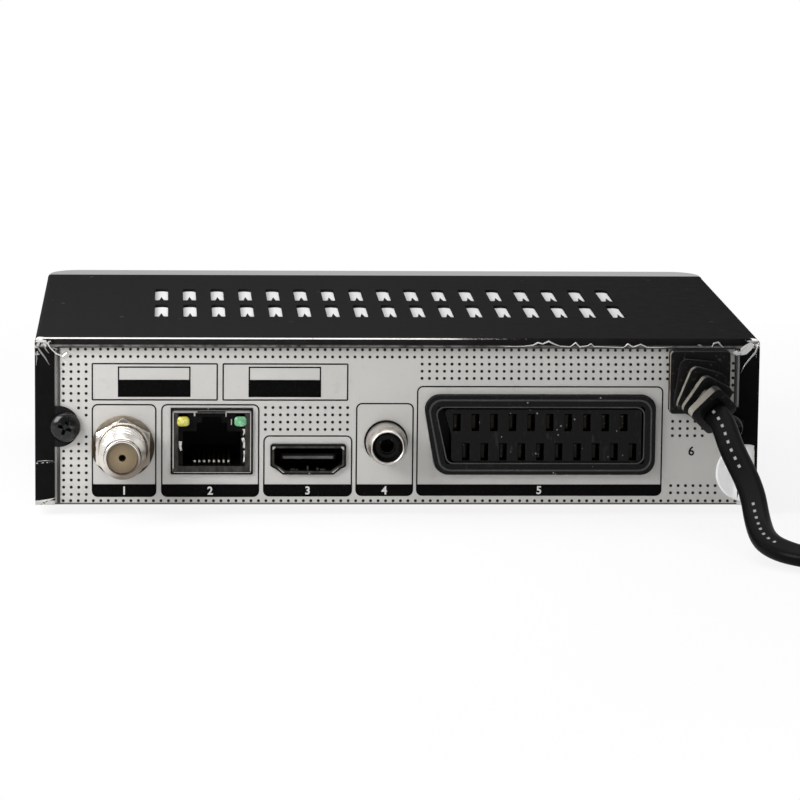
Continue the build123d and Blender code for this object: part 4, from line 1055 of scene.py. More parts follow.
def ribbed_relief(material):
    """The strain relief: a block on the panel, four ribs that turn with the lead, and its inner neck."""
    relief = Shapes()
    inner = RELIEF_LOW.y
    for stations in (
        [(PANEL_Y, 0.0), (PANEL_Y + 2.2, 0.0), (PANEL_Y + 2.5, 0.12), (PANEL_Y + 2.6, 0.45)],
        [(inner, 2.36), (PANEL_Y, 2.36)],
        [(inner, 1.56), (inner + 2.9, 1.56)],
    ):
        relief.loft([block_section(y, inset) for y, inset in stations])
    relief.loft([neck_section(t / 8, NECK_W, NECK_H, NECK_R) for t in range(9)])
    for t, w, h, thick, shift in NECK_RIBS:
        relief.loft([
            neck_section(t, w - bevel, h - bevel, RIB_R, back, shift)
            for back, bevel in ((thick, RIB_BEVEL), (thick - 0.2, 0.0), (0.2, 0.0), (0.0, RIB_BEVEL))
        ])
    relief.stand_in("ribbed_relief", material, "lead_rubber", "strain_relief", 35)


def coil_strap(material):
    """The hook-and-loop strap round one side of the coil, with its free end lapped over."""
    low, high = corners("cord_tie")
    low.y, high.y = COIL.y - STRAP_OUT, COIL.y - STRAP_IN
    x, y, z = (low + high) / 2
    deep, tall, half = high.y - low.y, high.z - low.z, (high.x - low.x) / 2
    rows = [(-half, 0.18), (0.2 - half, 0.0), (half - 0.2, 0.0), (half, 0.18)]
    loops = [(at, inset, STRAP_R - inset) for at, inset in rows]
    loops += [(at, STRAP_T - inset, STRAP_R - STRAP_T - inset) for at, inset in rows[::-1]]
    points = [
        (x + at, py, pz)
        for at, inward, r in loops
        for py, pz in box_outline(y, z, deep - 2 * inward, tall - 2 * inward, r)
    ]
    strap = Shapes()
    strap.add(points, bands(len(points) // len(loops), len(loops), closed=True))
    strap.plate(box_outline(x, FLAP_Z, 2 * half - 0.4, FLAP_TALL, FLAP_R), low.y - 0.55, low.y + 0.05)
    strap.stand_in("coil_strap", material, "tie_strap", "cord_tie", 35)


def plug_grips(material):
    """Shallow finger ribs over the plug's taper, on its upper and lower face."""
    ribs = Shapes()
    mid_y = (PLUG_LOW.y + PLUG_HIGH.y) / 2
    half_body = (PLUG_HIGH.y - PLUG_LOW.y) / 2
    for i in range(5):
        x = PLUG_HIGH.x - GRIPS_FROM - GRIP_STEP * i
        half = half_body - (half_body - PLUG_TAIL_HALF) * (GRIP_STEP * i + 1.5) / PLUG_TAPER - 2.0
        for z, way in ((PLUG_HIGH.z, 1), (PLUG_LOW.z, -1)):
            ribs.loft([
                [(x + a, mid_y + end * half, z + way * b) for a, b in GRIP_SECTION] for end in (-1, 1)
            ])
    ribs.make("plug_grips", material, "lead_rubber")


# ------------------------------------------------------------------ printed panel
INK = 0.03  # how far a print stands off the panel
BAR_INK = INK + 0.01
LINE = 0.3  # width of a printed outline
DOT_R = 0.325
FRAME_R = 1.25
BAR_TOP = 6.2
SCREW_X, SCREW_Z = 67.9, 18.2
EAR_R = 4.5  # no dots so near a screw
DOT_BLOCKS = (  # left x, top z, columns, rows, step x, step z
    (68.23, 30.95, 4, 19, 1.535, 1.493),
    (66.8, 34.08, 81, 2, 1.5225, 1.49),
    (27.13, 22.12, 12, 4, 1.525, 1.507),
    (-4.79, 31.15, 34, 3, 1.527, 1.473),
    (-68.65, 31.42, 1, 5, 1.0, 1.505),
    (-56.42, 19.36, 6, 3, 1.542, 1.49),
    (-56.3, 5.95, 7, 2, 1.533, 1.5),
    (68.33, 2.78, 91, 1, 1.533, 1.0),
)
WARNINGS = ((62.52, 36.84), (35.93, 10.24))  # left and right edge of each warning panel
WARNING_TOP, WARNING_LOW = 31.26, 23.52
FIELD_TOP, FIELD_BAR, FIELD_LOW = 30.56, 27.83, 24.27  # the framed field in it, and its bar's top
FIELD_LEFT, FIELD_RIGHT = 5.33, 5.57
FIGURE_TALL = 1.7
RATING_FIGURE = ("6", -60.4, 13.2, 2.0)  # beside the lead: text, x, z and height
PORT_FRAMES = {  # left, right, top and low edge, by the figure on the bar
    "1": (62.52, 49.32, 22.82, 3.55),
    "2": (48.39, 28.34, 22.83, 3.55),
    "3": (27.55, 9.31, 16.38, 3.65),
    "4": (8.64, -3.21, 23.11, 3.75),
    "5": (-3.8, -54.4, 26.66, 3.8),
}


def panel_dots(ink):
    dots = Shapes()
    for left, top, columns, rows, step_x, step_z in DOT_BLOCKS:
        for column in range(columns):
            for row in range(rows):
                x, z = left - column * step_x, top - row * step_z
                if math.hypot(abs(x) - SCREW_X, z - SCREW_Z) > EAR_R:
                    dots.plate(disc_outline(x, z, DOT_R, 8), PANEL_Y, PANEL_Y + INK)
    dots.make("panel_dots", ink, "silver_panel")


def outline_ring(shapes, left, right, top, low, r):
    outer = box_between(left, right, top, low, r)
    inner = box_between(left - LINE, right + LINE, top - LINE, low + LINE, max(r - LINE, 0.05))
    shapes.ring(outer, inner, PANEL_Y, PANEL_Y + INK)


def panel_frames(ink, bar_ink):
    """A thin outline round each socket with a bar along its foot, and the two warning panels."""
    lines, bars = Shapes(), Shapes()
    for left, right, top, low in PORT_FRAMES.values():
        outline_ring(lines, left, right, top, low, FRAME_R)
        foot = box_between(left, right, 2 * BAR_TOP, low, FRAME_R)
        foot = [(x, min(z, BAR_TOP)) for x, z in foot]
        foot = [point for i, point in enumerate(foot) if point != foot[i - 1]]
        bars.plate(foot, PANEL_Y, PANEL_Y + BAR_INK)
    for left, right in WARNINGS:
        outline_ring(lines, left, right, WARNING_TOP, WARNING_LOW, 0.3)
        left, right = left - FIELD_LEFT, right + FIELD_RIGHT
        outline_ring(lines, left, right, FIELD_TOP, FIELD_LOW, 0.1)
        bars.plate(box_between(left, right, FIELD_BAR, FIELD_LOW, 0.05), PANEL_Y, PANEL_Y + BAR_INK)
    lines.make("panel_lines", ink, "silver_panel")
    bars.make("panel_bars", bar_ink, "silver_panel")


def numeral(shapes, text, x, z, tall, y0, y1):
    """A plain figure of the given height on the panel, read from the back."""
    curve = bpy.data.curves.new("figures", "FONT")
    curve.body = text
    curve.resolution_u = 3
    curve.extrude = 0.5
    curve.offset = 0.022
    places, faces = read_curve(curve)
    (x0, x1), (z0, z1) = ((min(p[axis] for p in places), max(p[axis] for p in places)) for axis in (0, 1))
    scale = tall / (z1 - z0)
    points = [
        (x - (p.x - (x0 + x1) / 2) * scale, y0 if p.z < 0 else y1, z + (p.y - (z0 + z1) / 2) * scale)
        for p in places
    ]
    shapes.add(points, faces)


def panel_figures(white_ink, ink):
    white, black = Shapes(), Shapes()
    y0, y1 = PANEL_Y + INK, PANEL_Y + 2 * INK
    for text, (left, right, _, low) in PORT_FRAMES.items():
        numeral(white, text, (left + right) / 2, (BAR_TOP + low) / 2, FIGURE_TALL, y0, y1)
    numeral(black, *RATING_FIGURE, PANEL_Y, y0)
    white.make("bar_figures", white_ink, "silver_panel")
    black.make("panel_figure", ink, "silver_panel")


def print_ink(name, level, speckle, gleam=0.12):
    """Screen-printed ink with a ragged, slightly broken body."""
    paint = Paint(name)
    gaps = paint.noise(2.2, 4.0).ramp(0.55, 0.75)
    return paint.surface(
        Base_Color=paint.mix(gaps, grey(level, 0.02), grey(speckle, 0.02)),
        Roughness=0.5 + gaps * 0.1,
        Specular_IOR_Level=gleam,
    )


# ------------------------------------------------------------------ sockets
def threaded(root, crest, cavity_shade, y0, y1):
    """Changes a profile's radius into a thread between y0 and y1."""
    def shape(y, r, turn):
        if not y0 < y < y1 or r < root:
            return r
        wave = abs(((y / cavity_shade + turn) % 1.0) - 0.5) * 2
        ease = min((y - y0) / cavity_shade, (y1 - y) / cavity_shade, 1.0)
        return crest - (crest - root) * wave * ease
    return shape


def behind(tip, profile):
    """A profile of (distance below the tip, r) as one of (y, r)."""
    return [(tip - down, r) for down, r in profile]


def aerial_thread(nickel):
    """The threaded barrel with its long chamfer and plain nose."""
    crest, root, bore = 4.76, 4.36, 3.12
    tip, back = AERIAL_TIP_Y, PANEL_Y + 0.1
    start, end = NUT_FACE_Y - 0.4, tip - 2.5
    rows = 64
    profile = [(back, root - 0.1), (start, root - 0.1)]
    profile += [(start + 0.01 + (end - start) * i / rows, crest) for i in range(rows + 1)]
    profile += behind(tip, (
        (1.7, 3.95), (1.5, 3.78), (0.2, 3.72), (0.05, 3.62), (0.0, 3.45), (0.06, 3.24), (0.3, bore),
    ))
    barrel = Shapes()
    barrel.turned([*profile, (back, bore)], AERIAL.x, AERIAL.z, 72, threaded(root, crest, 0.8, start, end))
    barrel.stand_in("aerial_thread", nickel, "nickel", "aerial_barrel", 40)


def hexagonal(flat):
    """Changes a profile's radius into a hexagon with a corner up; a cone may cut its corners off."""
    def shape(y, r, turn):
        if r < flat / 2 - 0.2:
            return r
        return min(flat / 2 / math.cos(math.radians((turn * 360) % 60 - 30)), r)
    return shape


def aerial_hex(nickel):
    back, face, flat = PANEL_Y + 0.7, NUT_FACE_Y, 11.0
    reach = flat / 2 / math.cos(math.pi / 6)
    cone = behind(face, [(drop, 5.42 + drop * 1.75) for drop in (0.62, 0.5, 0.36, 0.24, 0.12, 0.0)])
    profile = [(back, 4.7), (back, reach - 0.25), (back + 0.2, reach), (face - 0.7, reach)]
    nut = Shapes()
    nut.turned([*profile, *cone, (face, 5.1), (face - 0.35, 4.7)], AERIAL.x, AERIAL.z, 96, hexagonal(flat))
    nut.stand_in("aerial_hexagon", nickel, "nickel", "aerial_nut", 20)


def coax_nose(nickel, gloss):
    """The chromed barrel, which rounds over to a thin lip, and the glossy black funnel inside it."""
    tip, back = PANEL_Y + 7.2, PANEL_Y + 0.3
    mouth = behind(tip, (
        (3.6, 4.14), (2.6, 4.08), (1.8, 3.96), (1.1, 3.8), (0.5, 3.6), (0.15, 3.42), (0.0, 3.26),
        (0.05, 3.14), (0.3, 3.04),
    ))
    nose = Shapes()
    nose.turned([(back, 3.8), (back, 4.12), (back + 0.15, 4.15), *mouth, (back, 3.06)], COAX.x, COAX.z, 64)
    nose.stand_in("coax_nose", nickel, "nickel", "coax_shell", 50)
    funnel = Shapes()
    funnel.turned(behind(tip, (
        (5.0, 3.03), (0.4, 3.03), (0.45, 2.95), (1.0, 2.62), (1.6, 2.4), (3.2, 2.2), (5.0, 2.1),
    )), COAX.x, COAX.z, 48)
    # A black ring round the barrel's foot stands for the shaded gap of the panel's hole: painted shade.
    outer, inner = (disc_outline(COAX.x, COAX.z, r, 48) for r in (4.45, 4.05))
    funnel.ring(outer, inner, PANEL_Y, back + 0.1)
    funnel.make("coax_mouth", gloss, "dark_plastic")


def loose(shapes):
    """A mesh object that isn't a piece yet, in mm."""
    mesh = bpy.data.meshes.new("loose")
    mesh.from_pydata(shapes.points, [], shapes.faces)
    face_outwards(mesh)
    return placed("loose", mesh)


def cut(body, cutter):
    """The points and faces that are left of one set of shapes after another is cut out of it."""
    body, cutter = loose(body), loose(cutter)
    modifier = body.modifiers.new("cut", "BOOLEAN")
    modifier.operation, modifier.solver, modifier.object = "DIFFERENCE", "EXACT", cutter
    bpy.context.view_layer.update()
    left = bpy.data.meshes.new_from_object(body.evaluated_get(bpy.context.evaluated_depsgraph_get()))
    points = [tuple(vertex.co) for vertex in left.vertices]
    faces = [tuple(face.vertices) for face in left.polygons]
    bpy.data.meshes.remove(left)
    for gone in (body, cutter):
        mesh = gone.data
        bpy.data.objects.remove(gone)
        bpy.data.meshes.remove(mesh)
    return points, faces


def cross_recess(x, z, top):
    """The driver's cross: narrow at its floor and wide at the head's top."""
    turn = math.radians(20)
    ux, uz = math.cos(turn), math.sin(turn)
    sections = []
    for y, reach, half in ((top - 1.5, 0.55, 0.2), (top + 0.3, 1.8, 0.4)):
        arm = [(half, half), (reach, half), (reach, -half), (half, -half)]
        cross = []
        for _ in range(4):
            cross += arm[:3]
            arm = [(b, -a) for a, b in arm]
        sections.append([(x + a * ux - b * uz, y, z + a * uz + b * ux) for a, b in cross])
    tool = Shapes()
    tool.loft(sections)
    return tool


def domed_screws(material):
    """Pan heads with a rounded rim and a deep cross recess, on their threaded shanks."""
    made = Shapes()
    seat, top, tip = LIP_Y - 0.1, LIP_Y + 2.0, PANEL_Y - 5.5
    dome = behind(top, (
        (2.1, 0.5), (2.1, 3.0), (1.75, 3.15), (1.3, 3.08), (0.85, 2.82), (0.5, 2.4), (0.25, 1.8), (0.1, 1.1),
        (-0.02, 0.02), (1.8, 0.02),
    ))
    shank = [(tip, 0.3), (tip + 0.7, 1.3), (tip + 0.8, 1.4)]
    shank += [(tip + 0.8 + 0.25 * i, 1.4 if i % 2 else 1.1) for i in range(1, 18)]
    shank += [(seat + 0.05, 1.4), (seat + 0.05, 0.02), (tip, 0.02)]
    for x in (SCREW_X, -SCREW_X):
        head = Shapes()
        head.turned(dome, x, SCREW_Z, 64)
        made.add(*cut(head, cross_recess(x, SCREW_Z, top)))
        made.turned(shank, x, SCREW_Z, 24)
    made.stand_in("domed_screws", material, "black_screws", "rear_screws", 35)

def collar(name, outer, inner, y0, y1, material, slot):
    shapes = Shapes()
    shapes.ring(outer, inner, y0, y1)
    shapes.make(name, material, slot)


NET_W, NET_H = 16.8, 13.7
LENS_ASIDE, LENS_Z = 5.85, 19.25
CONTACT_STEP, CONTACT_Z = 0.99, 10.75


def network_rim(tin, dull, black, pale, clear):
    """The screen's folded edge in a shaded copy of its tin, in a black ring that stands for the shaded gap,
    with painted highlight lines of bright tin, springs, lenses and tips.
    """
    x, z, w, h = NETWORK.x, NETWORK.z, NET_W, NET_H
    front = PANEL_Y + 0.4
    # A black ring that stands for the shaded gap round the screen: painted shade.
    collar("network_gap", box_outline(x, z, w, h, 0.35), box_outline(x, z, w - 0.8, h - 0.8, 0.3),
           PANEL_Y - 0.2, front + 0.03, black, "dark_plastic")
    left, right, top, low = x + w / 2 - 0.42, x - w / 2 + 0.42, z + h / 2 - 0.62, z - h / 2 + 0.36
    # The folded edge itself in the shaded copy of the tin: painted shade.
    collar("network_face", box_between(left, right, top, low, 0.2),
           box_between(left - 1.15, right + 1.2, top - 0.45, low + 1.35, 0.2),
           front - 0.3, front, dull, "socket_shell")
    # Painted highlights: thin plates of bright tin along the folded edge's lit lines.
    lines = Shapes()
    for edges in (
        (left, left - 5.0, top, top - 0.25), (right + 5.2, right, top, top - 0.25),
        (left, left - 0.2, top, low + 0.9), (right + 0.16, right, top, low + 0.3),
        (left - 0.2, right, low + 0.1, low), (left - 4.3, left - 4.6, top - 0.3, top - 1.0),
        (right + 5.2, right + 5.0, top - 0.3, top - 1.1), (right + 4.1, right + 3.9, top - 1.6, top - 2.8),
    ):
        lines.plate(box_between(*edges, 0.05, 2), front - 0.1, front + 0.07)
    lines.make("network_rim", tin, "socket_shell")
    network_springs(pale, front)
    lenses = Shapes()
    for side in (1, -1):
        lens_x = x + side * LENS_ASIDE
        lenses.dome(box_outline(lens_x, LENS_Z, 2.6, 2.05, 0.75), lens_x, LENS_Z, front - 0.25, 0.75)
    lenses.stand_in("network_lenses", clear, "signal_lights", "network_lights")
    # The contact tips are drawn pale as a painted highlight.
    tips = Shapes()
    for i in range(8):
        tip_x = x + CONTACT_STEP * (i - 3.5)
        tips.dome(disc_outline(tip_x, CONTACT_Z, 0.26, 10), tip_x, CONTACT_Z, front - 1.6, 0.3, 3)
    tips.make("network_tips", pale, "gold_contacts", smooth=True)


def network_springs(pale, front):
    """Bent tabs at both sides of the plug's way; the far side's catch more of the light."""
    tabs = Shapes()
    for side, set_back, outline in (
        (1, 0.25, [(6.1, -0.1), (6.75, 0.0), (6.7, -1.1), (6.4, -2.0), (6.0, -1.9), (6.2, -1.2)]),
        (-1, 0.12, [(6.2, 2.6), (6.9, 2.5), (6.75, 1.7), (6.35, 1.2), (6.45, 2.0)]),
        (-1, 0.05, [(6.0, 0.6), (6.55, 0.8), (6.9, -0.2), (6.7, -1.5), (6.35, -1.2), (6.45, -0.4),
                    (6.15, 0.1)]),
        (-1, 0.18, [(6.45, -2.0), (6.8, -1.9), (6.7, -4.2), (6.4, -4.4), (6.5, -3.0)]),
    ):
        points = [(NETWORK.x + side * a, NETWORK.z + b) for a, b in outline]
        tabs.plate(points, front - 0.7, front - set_back)
    tabs.make("network_springs", pale, "socket_shell")


VIDEO_W, VIDEO_H = 15.5, 6.3


def video_profile(inset):
    """The socket's outline from the back, with its lower corners cut off."""
    w, h = VIDEO_W / 2 - inset, VIDEO_H / 2 - inset
    half = [(0.0, h), (w - 0.35, h), (w, h - 0.35), (w, -h * 0.42), (w - 0.35, -h * 0.52),
            (w - 1.05, -h * 0.62), (w * 0.69, -h + 0.12), (w * 0.66, -h), (0.0, -h)]
    outline = half + [(-a, b) for a, b in half[::-1][1:-1]]
    return [(VIDEO.x + a, VIDEO.z + b) for a, b in outline]


def video_rim(tin, dull, black, tongue_highlight):
    """The socket's rolled edge in a shaded copy of its tin, in a black ring that stands for the shaded gap of
    its cut-out, with painted highlights of bright tin at its bends.
    """
    front = PANEL_Y + 0.6
    x, z, w, h = VIDEO.x, VIDEO.z, VIDEO_W / 2 - 0.45, VIDEO_H / 2 - 0.45
    # A black ring that stands for the shaded gap of the cut-out: painted shade.
    collar("video_gap", video_profile(0.0), video_profile(0.62),
           PANEL_Y - 0.1, front + 0.02, black, "dark_plastic")
    # The rolled edge in the shaded copy of the tin: painted shade.
    collar("video_rim", video_profile(0.4), video_profile(0.78),
           front - 0.1, front + 0.06, dull, "socket_shell")
    upper = [(w, h - 0.05), (w - 0.6, h), (w - 0.55, h - 0.25), (w - 0.2, h - 0.6), (w, h - 0.7)]
    lower = [(w - 1.0, -h * 0.62), (w - 1.25, -h * 0.66), (w * 0.7, -h + 0.2), (w * 0.66, -h + 0.05),
             (w * 0.7, -h - 0.05)]
    # Painted highlights: plates of bright tin at the rim's bends.
    bends = Shapes()
    for side in (1, -1):
        for bend in (upper, lower):
            bends.plate([(x + side * a, z + b) for a, b in bend], front, front + 0.09)
    bends.make("video_bends", tin, "socket_shell")
    # Painted highlight: a paler strip along the tongue's front edge.
    tongue = Shapes()
    tongue.plate(box_between(x + 5.15, x - 5.15, z + 0.55, z, 0.2, 3), front - 1.3, front - 1.1)
    tongue.make("video_tongue_edge", tongue_highlight, "dark_plastic")
    # The springs in the shaded copy of the tin: painted shade.
    springs, low = Shapes(), z - h + 0.35
    for across, wide, tall in (
        (3.2, 0.9, 0.3), (2.3, 0.5, 0.22), (0.1, 0.3, 0.85), (-1.9, 0.45, 0.5), (-3.0, 1.1, 0.25),
    ):
        spring = box_outline(x + across, low + tall / 2, wide, tall, 0.08, 2)
        springs.plate(spring, front - 1.5, front - 0.5)
    springs.make("video_springs", dull, "socket_shell")


AV_W, AV_H, AV_MID, AV_Z = 47.3, 16.4, -29.15, 16.6


def av_profile(inset):
    """The wide socket's outline: three square corners and a slanted end, all rounded."""
    w, h, r, slant = AV_W / 2 - inset, AV_H / 2 - inset, 3.0 - inset * 0.6, 1.9
    points = []
    for cx, cz, start, end in (
        (-w, h, 180, 90), (w, h, 90, -8), (w - slant, -h, -8, -90), (-w, -h, -90, -180),
    ):
        mx, mz = AV_MID + cx - math.copysign(r, cx), AV_Z + cz - math.copysign(r, cz)
        points += [on_circle(mx, mz, r, math.radians(start + (end - start) * i / 6)) for i in range(7)]
    return points


def av_bead(gloss):
    """Rounded beads round the wide socket's face and its plug well, which catch the light; their black, paler
    than the socket's, is a painted highlight.
    """
    front = PANEL_Y + 1.2
    beads = Shapes()
    for inset, rise, width in ((0.75, 0.1, 0.35), (2.25, 0.04, 0.25)):
        beads.ring(av_profile(inset), av_profile(inset + width), front - 0.05, front + rise)
    beads.make("av_beads", gloss, "dark_plastic")


# ------------------------------------------------------------------ wear and sticker
SCAR_Y = LIP_Y - 0.02
SCARS = (  # (x, z, width) along each bare ridge
    [(73.8, 35.6, 0.1), (72.6, 36.1, 0.4), (71.4, 35.4, 0.35), (70.9, 34.5, 0.3), (69.7, 33.3, 0.28),
     (68.3, 32.7, 0.32), (67.5, 33.4, 0.28), (67.9, 33.8, 0.1)],
    [(-73.7, 35.8, 0.15), (-73.1, 33.8, 0.45), (-71.9, 32.4, 0.4), (-70.8, 30.9, 0.25), (-70.2, 29.5, 0.08)],
    [(-72.8, 35.5, 0.15), (-71.3, 35.0, 0.4), (-70.1, 33.9, 0.45), (-68.9, 33.4, 0.3), (-68.3, 33.6, 0.1)],
    [(-68.8, 33.3, 0.1), (-70.6, 33.5, 0.35), (-71.8, 34.7, 0.15)],
    [(-64.1, 34.9, 0.1), (-64.5, 35.6, 0.35), (-65.4, 35.85, 0.4), (-66.2, 35.0, 0.3), (-66.6, 34.7, 0.1)],
    [(-61.1, 35.3, 0.08), (-61.6, 35.25, 0.3), (-62.1, 35.1, 0.08)],
    [(73.8, 2.75, 0.15), (72.6, 2.85, 0.3), (71.0, 3.1, 0.35), (69.9, 3.5, 0.1)],
    [(73.6, 11.0, 0.08), (71.8, 11.2, 0.14), (70.2, 11.1, 0.06)],
)
FLAKES = (
    [(73.9, 35.9), (72.6, 36.2), (71.6, 35.9), (72.1, 35.5), (73.2, 35.6)],
    [(-70.0, 34.6), (-70.9, 35.3), (-72.0, 35.9), (-72.9, 35.4), (-72.2, 34.3), (-71.2, 33.4), (-70.1, 33.2)],
    [(-68.4, 33.9), (-69.3, 34.2), (-69.9, 33.5), (-69.2, 33.1)],
)
EDGE_SCAR = [
    (-20.6, 35.0, 0.1), (-23.1, 34.9, 0.2), (-25.5, 34.95, 0.2), (-27.4, 35.2, 0.3), (-28.4, 35.7, 0.36),
    (-29.4, 35.45, 0.3), (-30.6, 36.0, 0.34), (-31.3, 35.6, 0.3), (-32.9, 35.0, 0.22), (-35.0, 34.85, 0.22),
    (-36.1, 35.7, 0.36), (-37.0, 34.85, 0.3), (-38.6, 35.1, 0.22), (-39.3, 35.5, 0.3), (-39.9, 34.95, 0.22),
    (-43.6, 34.8, 0.2), (-46.0, 34.75, 0.22), (-46.8, 35.5, 0.36), (-47.9, 34.85, 0.28), (-49.5, 35.4, 0.32),
    (-50.8, 34.8, 0.25), (-53.4, 34.75, 0.2), (-55.9, 34.9, 0.1),
]
RUBS = (
    [(73.7, 34.9, 0.2), (73.0, 33.9, 0.5), (71.9, 32.4, 0.45), (71.0, 30.9, 0.15)],
    [(72.5, 35.2, 0.1), (71.8, 34.2, 0.4), (71.1, 33.3, 0.15)],
    [(70.9, 34.2, 0.1), (70.2, 34.4, 0.35), (69.3, 34.1, 0.15)],
    [(73.75, 33.6, 0.3), (73.6, 32.2, 0.35), (73.7, 30.8, 0.1)],
)
STICKER_X, STICKER_Z, STICKER_R = -71.55, 8.7, 6.0
LIP_EDGE, LIP_STEP = 69.6, 0.5  # where a label leaves the panel, and the run of its step up to the lip
FOLD_R = 1.0  # fold between the lip and the case's side


def lip_scars(steel):
    """Bare ridges where the lid's paint has flaked off its rear edge and corners."""
    scars = Shapes()
    for line in SCARS:
        scars.strip([(x, z, width * 1.1) for x, z, width in line], SCAR_Y, 0.09)
    for flake in FLAKES:
        scars.plate(flake, SCAR_Y, SCAR_Y + 0.06)
    scars.strip(EDGE_SCAR, SCAR_Y, 0.12)
    scars.make("lip_scars", steel, "painted_steel")


def lip_rubs(dull):
    """Duller streaks round the same corner, where the paint is only rubbed through."""
    rubs = Shapes()
    for line in RUBS:
        rubs.strip(line, SCAR_Y, 0.06)
    rubs.make("lip_rubs", dull, "painted_steel")


def lip_hems(material):
    """The lid's folded hems, which show as soft rolled edges inside its rear lips."""
    hems = Shapes()
    reach = LIP_EDGE - 0.05
    section = [(0.0, 0.0), (0.3, 0.0), (0.42, 0.15), (0.4, 0.35), (0.28, 0.52), (0.06, 0.6), (0.0, 0.6)]
    for run in (
        [(reach, LIP_LOW, 0, -1), (-reach, LIP_LOW, 0, -1)],
        [(reach, BASE_Z + 0.4, -1, 0), (reach, LIP_LOW, -1, 0)],
        [(-reach, LIP_LOW, 1, 0), (-reach, STICKER_Z + STICKER_R, 1, 0)],
    ):
        hems.loft([
            [(x + way_x * deep, PANEL_Y + out, z + way_z * deep * 0.3) for out, deep in section]
            for x, z, way_x, way_z in run
        ])
    hems.make("lip_hems", material, "painted_steel", smooth=True)


def wrap_lip(x, z, lift):
    """A point of a flat label, x mm across, wrapped over the panel, the lip and the case's side."""
    away, fold_x = -x, SIDE_X - FOLD_R
    if away < LIP_EDGE:
        return x, PANEL_Y + lift, z
    if away < LIP_EDGE + LIP_STEP:
        return x, PANEL_Y + lift + (away - LIP_EDGE) / LIP_STEP * (LIP_Y - PANEL_Y), z
    if away < fold_x:
        return x, LIP_Y + lift, z
    turn = min((away - fold_x) / FOLD_R, math.pi / 2)
    side = max(away - fold_x - FOLD_R * math.pi / 2, 0.0)
    r = FOLD_R + lift
    return -fold_x - r * math.sin(turn), LIP_Y - FOLD_R + r * math.cos(turn) - side, z


def round_sticker(paper):
    """A bare round label stuck over the lid's lower corner."""
    rings, steps, under, over = 12, 48, 0.01, 0.09
    rows = [(ring, under) for ring in range(1, rings + 1)] + [(ring, over) for ring in range(rings, 0, -1)]
    points = []
    for ring, lift in rows:
        circle = [
            on_circle(STICKER_X, STICKER_Z, STICKER_R * ring / rings, 2 * math.pi * i / steps)
            for i in range(steps)
        ]
        points += [wrap_lip(x, z, lift) for x, z in circle]
    faces = bands(steps, len(rows)) + fan(steps, 0, len(points))
    faces += fan(steps, len(points) - steps, len(points) + 1)
    points += [wrap_lip(STICKER_X, STICKER_Z, lift) for lift in (under, over)]
    piece("round_sticker", points, faces, paper, smooth=True)


def sticker_paper():
    paint = Paint("sticker_paper")
    fibre = paint.noise(1.5, 4.0)
    soil = paint.noise(0.4, 4.0).ramp(0.6, 0.8) * 0.25
    return paint.surface(
        Base_Color=paint.mix(soil, paint.mix(fibre, grey(0.86), grey(0.93)), (0.5, 0.47, 0.42, 1.0)),
        Roughness=0.55 + fibre * 0.1,
    )


def scraped_steel():
    return two_tone(
        "scraped_steel", (3.0, 4.0), (grey(0.42, 0.02), grey(0.9, 0.01)), (0.25, 0.25), Metallic=0.6,
    )


# ------------------------------------------------------------------ front
FIGURES = {"1": "bc", "2": "abged", "3": "abgcd", "4": "fgbc"}  # the lit bars of each
BAR_ENDS = {  # 0 or 1 across and 0 to 2 up, for both ends of each bar
    "a": ((0, 2), (1, 2)), "b": ((1, 2), (1, 1)), "c": ((1, 1), (1, 0)), "d": ((0, 0), (1, 0)),
    "e": ((0, 1), (0, 0)), "f": ((0, 2), (0, 1)), "g": ((0, 1), (1, 1)),
}
FIGURE_W, FIGURE_H, FIGURE_LEAN, FIGURE_STEP = 3.6, 6.8, 0.5, 7.0
BAR_T, BAR_GAP = 0.75, 0.12
MARK_T = 0.03
POWER_OUT, POWER_IN = 1.6, 1.25  # radii of the power key's ring


def segment_bar(start, end):
    """One bar of a lit figure, pointed at both ends."""
    run = math.hypot(end[0] - start[0], end[1] - start[1])
    ux, uz = (end[0] - start[0]) / run, (end[1] - start[1]) / run
    half, shoulder = BAR_T / 2, BAR_GAP + BAR_T / 2
    outline = [(BAR_GAP, 0), (shoulder, half), (run - shoulder, half), (run - BAR_GAP, 0),
               (run - shoulder, -half), (shoulder, -half)]
    return [(start[0] + ux * a - uz * b, start[1] + uz * a + ux * b) for a, b in outline]


def lit_figures(lit, dim):
    """Four seven-bar figures on the module behind the window; the unlit bars show faintly."""
    on, off = Shapes(), Shapes()
    for place, figure in enumerate(FIGURES):
        x = DISPLAY.x + FIGURE_STEP * (place - 1.5)
        for name, ends in BAR_ENDS.items():
            start, end = (
                (x + (a - 0.5) * FIGURE_W + (b - 1) * FIGURE_LEAN / 2, DISPLAY.z + (b - 1) * FIGURE_H / 2)
                for a, b in ends
            )
            shapes = on if name in FIGURES[figure] else off
            shapes.plate(segment_bar(start, end), DISPLAY_FACE - 0.04, DISPLAY_FACE)
    on.make("lit_bars", lit, "dark_plastic")
    off.make("unlit_bars", dim, "dark_plastic")


